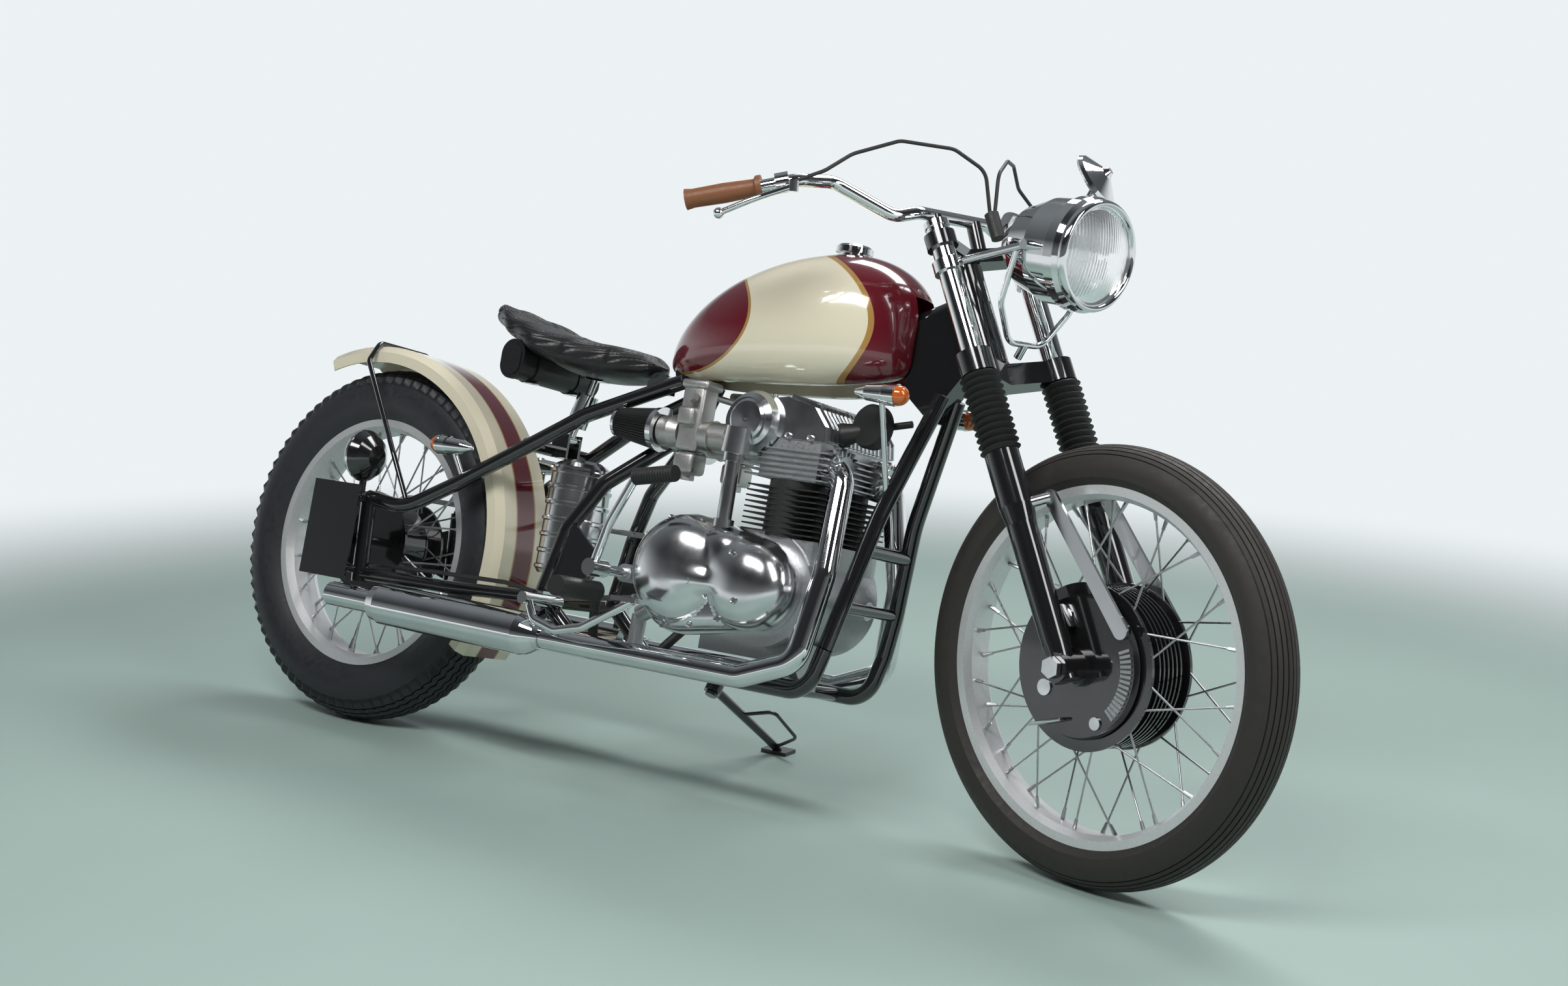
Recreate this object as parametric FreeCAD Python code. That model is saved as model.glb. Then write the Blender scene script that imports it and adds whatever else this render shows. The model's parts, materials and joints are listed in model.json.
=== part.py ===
"""Hardtail bobber motorcycle: parallel twin, sprung saddle, twin drum front brake.

Lengths are millimetres.  Every piece is drawn on the upright machine: X forward from the rear
axle, Y to the left, Z up from the plane under the tyres.  At the end the fork is turned on its
steering axis and the whole machine is leaned to its left onto its side stand, as it parks.
"""
import FreeCAD
import Part

import os
from math import acos, cos, pi, radians, sin, sqrt, tan

V = FreeCAD.Vector
X_AXIS = V(1, 0, 0)
Y_AXIS = V(0, 1, 0)
Z_AXIS = V(0, 0, 1)
SIDES = (-1, 1)                  # right, left

# ---------------------------------------------------------------- how it stands
LEAN = 14.74                     # degrees to its left on the side stand
STEER_REST = 15.0                # degrees to its right when parked
WHEELBASE = 1583.0               # with the wheels in line
RAKE = 27.5
FORK_OFFSET = 50.0               # fork legs ahead of the steering axis
RUNNING = 0.08                   # radial clearance of a shaft in its bearing
SEAT_GAP = 0.3                   # clearance of soft or curved pieces that rest on others

# ---------------------------------------------------------------- wheels
FRONT_TYRE_R = 345.0
FRONT_TYRE_HALF = 41.5
FRONT_RIM_R = 280.5
FRONT_RIM_HALF = 31.0
REAR_TYRE_R = 346.5
REAR_TYRE_HALF = 59.0
REAR_RIM_R = 242.8
REAR_RIM_HALF = 42.0
TYRE_WALL = 8.0
RIM_WALL = 3.5
RIM_DEPTH = 22.0
SPOKES_A_SIDE = 20
SPOKE_R = 1.7
AXLE_R = 10.0
AXLE_BORE_R = 6.0                # the front spindle is hollow
AXLE_STUB = 14.0                 # rear axle past its nuts
NUT_THICK = 12.0
FRONT_DRUM_R = 130.0
FRONT_DRUM_HALF = 50.0
REAR_DRUM_R = 100.0
REAR_DRUM_HALF = 44.0
REAR_HUB_HALF = 76.0
SPROCKET_R = 92.0
SPROCKET_Y = 69.5
SPROCKET_THICK = 6.0
CHAIN_HALF = 5.0                  # half the chain's width
CHAIN_DEPTH = 5.0                 # half its depth
CHAIN_REAR_R = 101.0              # pitch circle behind, and around the gearbox sprocket
CHAIN_FRONT_R = 44.0
CHAIN_FRONT = (770.0, 396.0)
BRAKE_GAP = 5.0                  # turning drum to standing brake plate
BRAKE_PLATE = 10.0
ANCHOR = (80.0, 0.0, 66.0)       # torque arm pin from the front axle

# ---------------------------------------------------------------- fork and bars
FORK_HALF = 100.0                # steering axis to each fork leg, sideways
FORK_TUBE_R = 19.0
FORK_TOP = 1121.0                # stations along the steering axis from the ground plane
UPPER_YOKE = (1084.0, 1109.0)
RISER = 63.0                     # bar centre above the upper yoke
LOWER_YOKE = (858.0, 896.0)
SLIDER_TOP = 721.0
SLIDER_R = 25.0
GAITER_R = 33.0
GAITER_RIBS = 12
HEADSTOCK = (901.0, 1079.0)
HEADSTOCK_R = 30.0
STEM_R = 15.0
BAR_R = 11.0
GRIP_R = 16.5

# ---------------------------------------------------------------- frame
TUBE_R = 14.0
DOWNTUBE_R = 14.0
BACKBONE_R = 20.0
CRADLE_HALF = 96.0
CRADLE_Z = 222.0
STAY_HALF = 126.0
PLATE_THICK = 8.0

# ---------------------------------------------------------------- engine
CRANK_X = 985.0
CRANK_Z = 380.0
GEARBOX_X = 812.0
GEARBOX_Z = 388.0
CASE_HALF = 108.0
CASE_FRONT_R = 98.0
CASE_REAR_R = 88.0
COVER_OUT = 158.0                # flat of the outer covers, from the middle
BULGE = 34.0                     # how far the rounded covers stand out past that
CYLINDER_X = 998.0
BARREL_HALF_X = 72.0
BARREL_HALF_Y = 114.0
BARREL_Z = (470.0, 566.0)
HEAD_Z = (566.5, 636.0)
FIN_THICK = 2.6
FIN_PITCH = 9.4
CYLINDER_Y = 62.0                # each bore from the middle
CARB_Y = 73.0
KICK_Z = 368.0                    # height of the kick starter's shaft
BEVEL_Y = -152.0                 # line of the bevel drive tube on the right side

# ---------------------------------------------------------------- exhaust
PIPE_R = 20.0
MUFFLER_R = 39.0
TAILPIPE_R = 23.0

# ---------------------------------------------------------------- tank, seat, rear
TANK_REAR_X = 656.0
TANK_FRONT_X = 1154.0
TANK_HALF = 128.0
SEAT_REAR_X = 232.0
SEAT_NOSE_X = 628.0
BAG_X = 352.0
BAG_Z = 725.0
BAG_HALF = 112.0
FENDER_GAP = 27.0                # tyre tread to the inside of the fender
FENDER_SHIFT_X = -12.0           # the fender's own centre from the axle
FENDER_SHIFT_Z = 8.0
FENDER_TAIL = -23.0              # degrees from straight up to each end
FENDER_FRONT = 120.0
FENDER_SKIRT = 30.0
FENDER_THICK = 3.0
FENDER_HALF = 74.0


# ================================================================ small makers
def tube(points, radius, bend=60.0):
    """Round bar along straight runs joined by tangent arcs."""
    points = [V(*p) for p in points]
    edges = []
    start = points[0]
    for before, corner, after in zip(points, points[1:], points[2:]):
        back = (before - corner).normalize()
        ahead = (after - corner).normalize()
        half_turn = (pi - back.getAngle(ahead)) / 2
        reach = bend * tan(half_turn)
        first = corner + back * reach
        last = corner + ahead * reach
        to_middle = (back + ahead).normalize()
        middle = corner + to_middle * (bend / cos(half_turn) - bend)
        edges.append(Part.LineSegment(start, first).toShape())
        edges.append(Part.Arc(first, middle, last).toShape())
        start = last
    edges.append(Part.LineSegment(start, points[-1]).toShape())
    path = Part.Wire(edges)
    ring = Part.Wire(Part.makeCircle(radius, points[0], points[1] - points[0]))
    return path.makePipeShell([ring], True, False)


def rod(start, end, radius, end_radius=None):
    """Straight bar, or a cone where the second radius differs."""
    start, end = V(*start), V(*end)
    length = (end - start).Length
    if end_radius is None or abs(end_radius - radius) < 1e-6:
        return Part.makeCylinder(radius, length, start, end - start)
    return Part.makeCone(radius, end_radius, length, start, end - start)


def block(low, high):
    low, high = V(*low), V(*high)
    size = high - low
    return Part.makeBox(size.x, size.y, size.z, low)


def join(shapes):
    shapes = list(shapes)
    if len(shapes) == 1:
        return shapes[0]
    return shapes[0].fuse(shapes[1:]).removeSplitter()


def revolve(profile, centre, axis_along_y=True):
    """Solid of revolution about a line along Y through a centre; profile is (y, r) pairs."""
    points = [V(0, y, r) for y, r in profile]
    face = Part.Face(Part.makePolygon(points + points[:1]))
    return face.revolve(V(0, 0, 0), Y_AXIS, 360).translated(V(*centre))


def turned(profile, start, direction):
    """Solid of revolution about a line; profile is (station, radius) pairs from its start."""
    points = [V(r, 0, s) for s, r in profile]
    face = Part.Face(Part.makePolygon(points + points[:1]))
    solid = face.revolve(V(0, 0, 0), Z_AXIS, 360)
    turn = FreeCAD.Rotation(Z_AXIS, V(*direction))
    solid.Placement = FreeCAD.Placement(V(*start), turn)
    return solid


def plate(outline, y_from, y_to):
    """Flat plate from an (x, z) outline, between two distances across the machine."""
    points = [V(x, y_from, z) for x, z in outline]
    face = Part.Face(Part.makePolygon(points + points[:1]))
    return face.extrude(V(0, y_to - y_from, 0))


def two_circle_plate(first, first_r, second, second_r, y_from, y_to):
    """Slab whose outline is two circles joined by their outer tangents."""
    (x1, z1), (x2, z2) = first, second
    gap = sqrt((x2 - x1) ** 2 + (z2 - z1) ** 2)
    along = V(x2 - x1, 0, z2 - z1).normalize()
    across = V(-along.z, 0, along.x)
    open_angle = acos((first_r - second_r) / gap)
    corners = []
    for side in SIDES:
        normal = along * cos(open_angle) + across * (side * sin(open_angle))
        corners.append((V(x1, y_from, z1) + normal * first_r, V(x2, y_from, z2) + normal * second_r))
    (low_a, low_b), (high_a, high_b) = corners
    edges = [
        Part.LineSegment(low_a, low_b).toShape(),
        Part.Arc(low_b, V(x2, y_from, z2) + along * second_r, high_b).toShape(),
        Part.LineSegment(high_b, high_a).toShape(),
        Part.Arc(high_a, V(x1, y_from, z1) - along * first_r, low_a).toShape(),
    ]
    return Part.Face(Part.Wire(edges)).extrude(V(0, y_to - y_from, 0))


def ring_loft(sections):
    """Closed skin through a row of smooth closed sections."""
    wires = []
    for section in sections:
        curve = Part.BSplineCurve()
        curve.interpolate([V(*p) for p in section], PeriodicFlag=True)
        wires.append(Part.Wire(curve.toShape()))
    return Part.makeLoft(wires, True, False)


def mirrored(shape):
    return shape.mirror(V(0, 0, 0), Y_AXIS)


def both_sides(shape):
    return Part.Compound([shape, mirrored(shape)])


# ================================================================ fork geometry
rake = radians(RAKE)
steer = radians(STEER_REST)
lean = radians(LEAN)
up_fork = V(-sin(rake), 0, cos(rake))        # along the steering axis, upwards
out_fork = V(cos(rake), 0, sin(rake))        # ahead of the axis, square to it
TRAIL = (FRONT_TYRE_R * sin(rake) - FORK_OFFSET) / cos(rake)
AXIS_FOOT = V(WHEELBASE + TRAIL, 0, 0)       # where the steering axis meets the ground plane


def fork_point(station, ahead, left):
    """A point on the straight fork from its station on the axis and its two offsets."""
    return AXIS_FOOT + up_fork * station + out_fork * ahead + Y_AXIS * left


def leaned_height(point):
    return point.z * cos(lean) - point.y * sin(lean)


def steered(vector):
    """A direction on the straight fork, once the fork is turned to its resting angle."""
    return FreeCAD.Rotation(up_fork, -STEER_REST).multVec(vector)


def front_axle_station():
    """Station on the axis at which the turned, leaned front tyre just meets the floor."""
    axle_line = steered(Y_AXIS)
    tilt = leaned_height(axle_line)
    core_r = FRONT_TYRE_R - FRONT_TYRE_HALF
    wanted = REAR_TYRE_HALF * (cos(lean) - 1) + core_r * sqrt(1 - tilt ** 2) + FRONT_TYRE_HALF
    offset = leaned_height(steered(out_fork) * FORK_OFFSET)
    return (wanted - offset) / leaned_height(up_fork)


AXLE_STATION = front_axle_station()
front_centre = fork_point(AXLE_STATION, FORK_OFFSET, 0)
rear_centre = V(0, 0, REAR_TYRE_R)


# ================================================================ wheels
def tyre(centre, radius, half, rim_r, rim_half):
    """Hollow tyre: a round crown, side walls that curve in to the beads."""
    def outline(inset):
        core = radius - half
        crown = half - inset
        bead = rim_half - inset
        side_z = (core + rim_r) / 2
        side_y = bead + (crown - bead) * 0.82
        top = V(0, 0, core + crown)
        left, right = V(0, crown, core), V(0, -crown, core)
        left_bead, right_bead = V(0, bead, rim_r), V(0, -bead, rim_r)
        edges = [
            Part.Arc(left_bead, V(0, side_y, side_z), left).toShape(),
            Part.Arc(left, top, right).toShape(),
            Part.Arc(right, V(0, -side_y, side_z), right_bead).toShape(),
        ]
        return edges, left_bead, right_bead

    outer, outer_left, outer_right = outline(0)
    inner, inner_left, inner_right = outline(TYRE_WALL)
    edges = outer + inner
    edges.append(Part.LineSegment(outer_left, inner_left).toShape())
    edges.append(Part.LineSegment(outer_right, inner_right).toShape())
    face = Part.Face(Part.Wire(Part.__sortEdges__(edges)))
    return face.revolve(V(0, 0, 0), Y_AXIS, 360).translated(centre)


def rim(centre, flange_r, half):
    floor = flange_r - RIM_DEPTH
    shelf = half * 0.62
    profile = [
        (-half, flange_r), (-half, floor + 8), (-shelf, floor), (shelf, floor),
        (half, floor + 8), (half, flange_r), (half - RIM_WALL, flange_r),
        (half - RIM_WALL, floor + 8 + RIM_WALL), (shelf - 1, floor + RIM_WALL),
        (1 - shelf, floor + RIM_WALL), (RIM_WALL - half, floor + 8 + RIM_WALL),
        (RIM_WALL - half, flange_r),
    ]
    return revolve(profile, centre)


def spokes(centre, flange_y, flange_r, rim_r, rim_half, cross=0.32):
    """Laced spokes: each leaves the hub flange at a slant and meets the rim's floor."""
    bars = []
    reach = rim_r - RIM_DEPTH + RIM_WALL * 0.5
    for side in SIDES:
        for index in range(SPOKES_A_SIDE):
            rim_angle = 2 * pi * (index + 0.25 * side) / SPOKES_A_SIDE
            slant = cross if index % 2 else -cross
            hub_angle = rim_angle + slant
            hub = V(flange_r * cos(hub_angle), side * flange_y, flange_r * sin(hub_angle))
            on_rim = V(reach * cos(rim_angle), side * rim_half * 0.3, reach * sin(rim_angle))
            bars.append(rod(centre + hub, centre + on_rim, SPOKE_R))
    return Part.Compound(bars)


def front_hub():
    """Wide twin drum with cooling fins between two spoke flanges."""
    half, radius = FRONT_DRUM_HALF, FRONT_DRUM_R
    bore = AXLE_R + RUNNING
    profile = [(-half, bore), (-half, radius), (6 - half, radius), (8 - half, radius - 12)]
    fin_start, fin_count, fin_step = -26.0, 6, 10.4
    for index in range(fin_count):
        y = fin_start + index * fin_step
        profile += [(y - 2.6, radius - 12), (y - 1.6, radius - 3), (y + 1.6, radius - 3), (y + 2.6, radius - 12)]
    profile += [(half - 8, radius - 12), (half - 6, radius), (half, radius), (half, bore)]
    return revolve(profile, front_centre)


def rear_hub():
    """Drum on the right, narrow waist, and the chain sprocket on the left."""
    bore = AXLE_R + RUNNING
    half, radius = REAR_DRUM_HALF, REAR_DRUM_R
    tooth_in = SPROCKET_Y - SPROCKET_THICK / 2
    tooth_out = SPROCKET_Y + SPROCKET_THICK / 2
    profile = [
        (-half, bore), (-half, radius), (-half + 6, radius), (-half + 6, radius - 14),
        (half - 16, radius - 14), (half - 16, 62), (half, 62), (half, 74), (tooth_in, 74),
        (tooth_in, SPROCKET_R), (tooth_out, SPROCKET_R), (tooth_out, 40), (REAR_HUB_HALF, 40),
        (REAR_HUB_HALF, bore),
    ]
    return revolve(profile, rear_centre)


def front_axle():
    reach = FORK_HALF + 24
    shaft = rod(front_centre - Y_AXIS * reach, front_centre + Y_AXIS * reach, AXLE_R)
    hollow = rod(front_centre - Y_AXIS * reach, front_centre + Y_AXIS * reach, AXLE_BORE_R)
    return shaft.cut(hollow)


def rear_axle():
    reach = STAY_HALF + PLATE_THICK / 2 + NUT_THICK + AXLE_STUB
    shaft = rod(rear_centre - Y_AXIS * reach, rear_centre + Y_AXIS * reach, AXLE_R)
    face = STAY_HALF + PLATE_THICK / 2
    nuts = [rod(rear_centre + Y_AXIS * (side * face), rear_centre + Y_AXIS * (side * (face + NUT_THICK)), 17)
            for side in SIDES]
    return join([shaft] + nuts)


# ================================================================ fork
def fork_legs(low, high, radius):
    return [rod(fork_point(low, FORK_OFFSET, side * FORK_HALF),
                fork_point(high, FORK_OFFSET, side * FORK_HALF), radius) for side in SIDES]


def fork_tubes():
    legs = fork_legs(SLIDER_TOP, FORK_TOP, FORK_TUBE_R)
    caps = fork_legs(FORK_TOP, FORK_TOP + 10, FORK_TUBE_R + 2)
    return Part.Compound([join(pair) for pair in zip(legs, caps)])


def yoke(stations, boss_r):
    low, high = stations
    solids = fork_legs(low, high, boss_r)
    solids.append(rod(fork_point(low, 0, 0), fork_point(high, 0, 0), boss_r))
    for side in SIDES:
        corners = [fork_point(low, -boss_r * 0.6, 0), fork_point(low, FORK_OFFSET - boss_r * 0.8, side * FORK_HALF),
                   fork_point(low, FORK_OFFSET + boss_r * 0.5, side * FORK_HALF), fork_point(low, boss_r, 0)]
        face = Part.Face(Part.makePolygon(corners + corners[:1]))
        solids.append(face.extrude(up_fork * (high - low)))
    body = join(solids)
    for leg in fork_legs(low - 5, high + 5, FORK_TUBE_R):
        body = body.cut(leg)
    return body


def fork_yokes():
    """Upper and lower yoke joined by the stem that turns in the headstock."""
    stem = rod(fork_point(LOWER_YOKE[0], 0, 0), fork_point(UPPER_YOKE[1] + 8, 0, 0), STEM_R)
    risers = []
    for side in SIDES:
        foot = fork_point(UPPER_YOKE[1], 4, side * 48)
        top = fork_point(UPPER_YOKE[1] + RISER, 10, side * 48)
        risers.append(rod(foot - up_fork * 4, top, 13))
    return join([yoke(LOWER_YOKE, 29), yoke(UPPER_YOKE, 26), stem] + risers)


def fork_gaiters():
    """Ribbed rubber bellows between each slider and the lower yoke."""
    low, high = SLIDER_TOP + SEAT_GAP, LOWER_YOKE[0] - SEAT_GAP
    step = (high - low) / GAITER_RIBS
    profile = [(0, FORK_TUBE_R + SEAT_GAP)]
    for index in range(GAITER_RIBS):
        base = index * step
        profile += [(base, GAITER_R - 7), (base + step * 0.5, GAITER_R)]
    profile += [(high - low, GAITER_R - 7), (high - low, FORK_TUBE_R + SEAT_GAP)]
    return Part.Compound([turned(profile, fork_point(low, FORK_OFFSET, side * FORK_HALF), up_fork)
                          for side in SIDES])


def fork_sliders():
    """Lower fork legs: tapering tubes that end in the axle lugs."""
    legs = []
    foot = AXLE_STATION - 22
    for side in SIDES:
        base = fork_point(foot, FORK_OFFSET, side * FORK_HALF)
        profile = [(0, 0), (0, 19), (60, 22), (SLIDER_TOP - foot - 120, SLIDER_R - 1),
                   (SLIDER_TOP - foot - 90, SLIDER_R + 3), (SLIDER_TOP - foot, SLIDER_R + 3), (SLIDER_TOP - foot, 0)]
        leg = turned(profile, base, up_fork)
        lug = rod(front_centre + Y_AXIS * (side * (FORK_HALF - 22)),
                  front_centre + Y_AXIS * (side * (FORK_HALF + 20)), 23)
        hole = rod(front_centre + Y_AXIS * (side * (FORK_HALF - 40)),
                   front_centre + Y_AXIS * (side * (FORK_HALF + 40)), AXLE_R)
        legs.append(join([leg, lug]).cut(hole))
    return Part.Compound(legs)


def brake_plates():
    """Standing brake plate on each side of the front drum, with the pin for its torque arm."""
    inner = FRONT_DRUM_HALF + BRAKE_GAP
    solids = []
    for side in SIDES:
        middle = front_centre + Y_AXIS * (side * inner)
        profile = [(0, AXLE_R), (0, 112), (BRAKE_PLATE, 108), (BRAKE_PLATE, 30), (FORK_HALF - 22 - inner, 30),
                   (FORK_HALF - 22 - inner, AXLE_R)]
        disc = turned(profile, middle, Y_AXIS * side)
        anchor = middle + V(*ANCHOR)
        pin = rod(anchor + Y_AXIS * (side * 4), anchor + Y_AXIS * (side * (BRAKE_PLATE + 2)), 11)
        solids.append(join([disc, pin]))
    return Part.Compound(solids)


def torque_arms():
    """Flat polished bar from each brake plate up to a lug on the front of the fork leg."""
    solids = []
    station = AXLE_STATION + 262
    for side in SIDES:
        near = FRONT_DRUM_HALF + BRAKE_GAP + BRAKE_PLATE + 2
        top = fork_point(station, FORK_OFFSET + 46, 0)
        low = front_centre + V(*ANCHOR)
        bar = two_circle_plate((low.x, low.z), 13, (top.x, top.z), 12, side * near, side * (near + 6))
        lug = rod(fork_point(station, FORK_OFFSET + 10, side * FORK_HALF),
                  fork_point(station, FORK_OFFSET + 44, side * (near + 4)), 9)
        solids.append(join([bar, lug]))
    return Part.Compound(solids)


BAR_ROUTE = [(1172, 0, 1046), (1172, 84, 1046), (1160, 128, 1034), (1101, 216, 1079),
             (1094, 290, 1072), (1052, 330, 1056), (962, 402, 1028)]


def bar_point(index, side):
    x, y, z = BAR_ROUTE[index]
    return V(x, side * y, z)


def handlebar():
    halves = []
    for side in SIDES:
        route = [tuple(bar_point(index, side)) for index in range(len(BAR_ROUTE))]
        halves.append(tube(route, BAR_R, 38))
    return join(halves)


def grips():
    """Moulded grips pushed over each end of the bar."""
    solids = []
    for side in SIDES:
        inner, end = bar_point(5, side), bar_point(6, side)
        along = (end - inner).normalize()
        profile = [(-2, BAR_R + SEAT_GAP), (-2, GRIP_R + 3), (6, GRIP_R + 3), (10, GRIP_R - 2), (60, GRIP_R),
                   (112, GRIP_R - 1), ((end - inner).Length + 6, GRIP_R + 1), ((end - inner).Length + 6, 0),
                   ((end - inner).Length + SEAT_GAP, 0), ((end - inner).Length + SEAT_GAP, BAR_R + SEAT_GAP)]
        solids.append(turned(profile, inner, along))
    return Part.Compound(solids)


def perch_centre(side):
    """Where each lever's clamp sits on the bar, and the bar's direction there."""
    inner = bar_point(4, side)
    along = (bar_point(5, side) - inner).normalize()
    return inner + along * 24, along


def hand_levers():
    """Lever blade and perch clamped to the bar inboard of each grip."""
    solids = []
    for side in SIDES:
        centre, along = perch_centre(side)
        clamp = rod(centre - along * 11, centre + along * 11, BAR_R + 6)
        hole = rod(centre - along * 20, centre + along * 20, BAR_R)
        pivot = centre + V(26, 0, -6)
        perch = rod(centre + V(10, 0, -3), pivot, 8)
        boss = rod(pivot - Z_AXIS * 9, pivot + Z_AXIS * 9, 9)
        tip = bar_point(6, side) + V(62, -12 * side, -22)
        bow = (pivot + tip) * 0.5 + V(14, 14 * side, 0)
        blade = tube([tuple(pivot), tuple(bow), tuple(tip)], 5, 60)
        ball = Part.makeSphere(9, tip)
        solids.append(join([clamp, perch, boss, blade, ball]).cut(hole))
    return Part.Compound(solids)


HEADLIGHT_CENTRE = V(1486, 0, 985)           # middle of the lens ring
HEADLIGHT_R = 92.0
HEADLIGHT_AXIS = V(cos(radians(6)), 0, -sin(radians(6)))


def headlight():
    """Long tapering chrome shell with its lens ring."""
    back = [(0, 0), (0, HEADLIGHT_R - 6), (-12, HEADLIGHT_R), (-30, HEADLIGHT_R), (-34, HEADLIGHT_R - 5),
            (-80, HEADLIGHT_R - 7), (-130, HEADLIGHT_R - 24), (-165, HEADLIGHT_R - 52), (-182, 0)]
    return turned(back, HEADLIGHT_CENTRE, HEADLIGHT_AXIS)


def headlight_bracket():
    """Side arms from the upper yoke and the wire loop under the lamp."""
    solids = []
    side_pin = HEADLIGHT_CENTRE - HEADLIGHT_AXIS * 62
    for side in SIDES:
        arm_y = side * (HEADLIGHT_R + 3)
        pin = rod(V(side_pin.x, side * (HEADLIGHT_R - 7), side_pin.z), V(side_pin.x, side * (HEADLIGHT_R + 12), side_pin.z), 8)
        arm_end = fork_point(UPPER_YOKE[0] - 34, FORK_OFFSET + FORK_TUBE_R + 3, arm_y)
        arm = rod(V(side_pin.x, arm_y, side_pin.z), arm_end, 6.5)
        collar = rod(fork_point(UPPER_YOKE[0] - 44, FORK_OFFSET, side * FORK_HALF),
                     fork_point(UPPER_YOKE[0] - 24, FORK_OFFSET, side * FORK_HALF), FORK_TUBE_R + 6)
        hole = rod(fork_point(UPPER_YOKE[0] - 60, FORK_OFFSET, side * FORK_HALF),
                   fork_point(UPPER_YOKE[0] - 10, FORK_OFFSET, side * FORK_HALF), FORK_TUBE_R)
        solids.append(join([pin, arm, collar]).cut(hole))
    lamp = headlight()
    return Part.Compound([solid.cut(lamp) for solid in solids])


def headlight_loop():
    """Bent wire stay from the lamp down to the lower yoke and back up."""
    arm_y = HEADLIGHT_R + 3
    start = HEADLIGHT_CENTRE - HEADLIGHT_AXIS * 62
    foot = fork_point(LOWER_YOKE[1], FORK_OFFSET + 6, 0)
    route = [(start.x - 22, -arm_y + 2, start.z - 6), (start.x - 52, -arm_y + 10, start.z - 90),
             (foot.x + 14, -40, foot.z + 20), (foot.x + 14, 40, foot.z + 20),
             (start.x - 52, arm_y - 10, start.z - 90), (start.x - 22, arm_y - 2, start.z - 6)]
    wire = tube(route, 5, 34)
    tab = rod((foot.x + 14, 0, foot.z + 20), tuple(foot - up_fork * 2), 7)
    return join([wire, tab])


def mirror():
    """Small round mirror on a short stem above the lamp shell."""
    stand = HEADLIGHT_CENTRE - HEADLIGHT_AXIS * 60 + V(0, 30, HEADLIGHT_R - 14)
    head = V(1415, 62, 1112)
    back = V(0.72, 0.22, 0.5).normalize()
    profile = [(0, 0), (0, 46), (4, 48), (10, 44), (26, 12), (34, 6), (34, 0)]
    cup = turned(profile, head, back)
    stem = tube([tuple(stand), tuple(stand + V(4, 14, 28)), tuple(head + back * 30)], 4.5, 14)
    return join([cup, stem]).cut(headlight())


def control_cables():
    """Splitter ahead of the upper yoke, with a cable looping back to each lever perch."""
    splitter = fork_point(1096, 88, 0)
    box = rod(splitter, splitter + up_fork * 46, 12)
    cables = []
    for side in SIDES:
        start = splitter + up_fork * 40 + Y_AXIS * (side * 5)
        route = [tuple(start), (1250, side * 16, 1122), (1222, side * 66, 1152), (1170, side * 140, 1156),
                 (1128, side * 205, 1126), (1126, side * 262, 1090), tuple(perch_centre(side)[0] + X_AXIS * 20)]
        cables.append(tube(route, 3.2, 34))
    return join([box] + cables)


# ================================================================ frame
def frame_neck():
    """Headstock, its boxed gussets and the backbone under the tank."""
    head = rod(fork_point(HEADSTOCK[0], 0, 0), fork_point(HEADSTOCK[1], 0, 0), HEADSTOCK_R)
    bore = rod(fork_point(HEADSTOCK[0] - 5, 0, 0), fork_point(HEADSTOCK[1] + 5, 0, 0), STEM_R + RUNNING)
    upper = fork_point(HEADSTOCK[1] - 60, 0, 0)
    lower = fork_point(HEADSTOCK[0] + 20, 0, 0)
    backbone = tube([tuple(upper), (1120, 0, 850), (900, 0, 800), (700, 0, 742)], BACKBONE_R, 300)
    outline = [(upper.x, upper.z), (lower.x, lower.z), (lower.x - 22, lower.z - 30), (1200, 700), (1150, 740), (1120, 850)]
    gusset = plate(outline, -26, 26)
    cross = rod((700, -52, 736), (700, 52, 736), TUBE_R)
    return join([head, backbone, gusset, cross]).cut(bore)


def frame_downtubes():
    """Two downtubes spreading from the neck to the cradle, with two cross braces."""
    tubes = []
    for side in SIDES:
        tubes.append(tube([(1222, side * 26, 742), (1160, side * 60, 527), (1136, side * 88, 372),
                           (1122, side * CRADLE_HALF, 300)], DOWNTUBE_R, 300))
    braces = [rod((1150, -72, 470), (1150, 72, 470), 12), rod((1134, -88, 372), (1134, 88, 372), 10)]
    return join(tubes + braces)


def frame_cradle():
    """Bottom rails from the downtubes back to the seat posts, with the cross tubes."""
    solids = []
    for side in SIDES:
        y = side * CRADLE_HALF
        solids.append(tube([(1122, y, 300), (1100, y, CRADLE_Z), (620, y, CRADLE_Z), (520, side * 104, 300)], TUBE_R, 50))
    for x in (1040, 660):
        solids.append(rod((x, -CRADLE_HALF, CRADLE_Z), (x, CRADLE_HALF, CRADLE_Z), 11))
    return join(solids)


def seat_posts():
    """Bent tubes from the backbone down to the cradle, each with its gusset plate."""
    solids = []
    for side in SIDES:
        post = tube([(735, side * 16, 725), (694, side * 18, 622), (585, side * 71, 520), (540, side * 96, 430),
                     (512, side * 104, 302)], TUBE_R, 55)
        y = side * 100
        gusset = plate([(548, 450), (612, 400), (600, 330), (516, 310)], y - 3, y + 3)
        solids.append(join([post, gusset]))
    return Part.Compound(solids)


def upper_stays():
    """Hardtail stays from the backbone's end down to the axle plates, and their cross tube."""
    solids = []
    for side in SIDES:
        solids.append(tube([(704, side * 46, 722), (520, side * 74, 640), (265, side * 112, 478),
                            (160, side * 124, 420), (66, side * STAY_HALF, 430)], TUBE_R, 110))
    solids.append(rod((402, -90, 572), (402, 90, 572), 12))
    bracket = join([block((402, -20, 560), (440, -14, 606)), block((402, 14, 560), (440, 20, 606))])
    return join(solids + [bracket])


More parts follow.
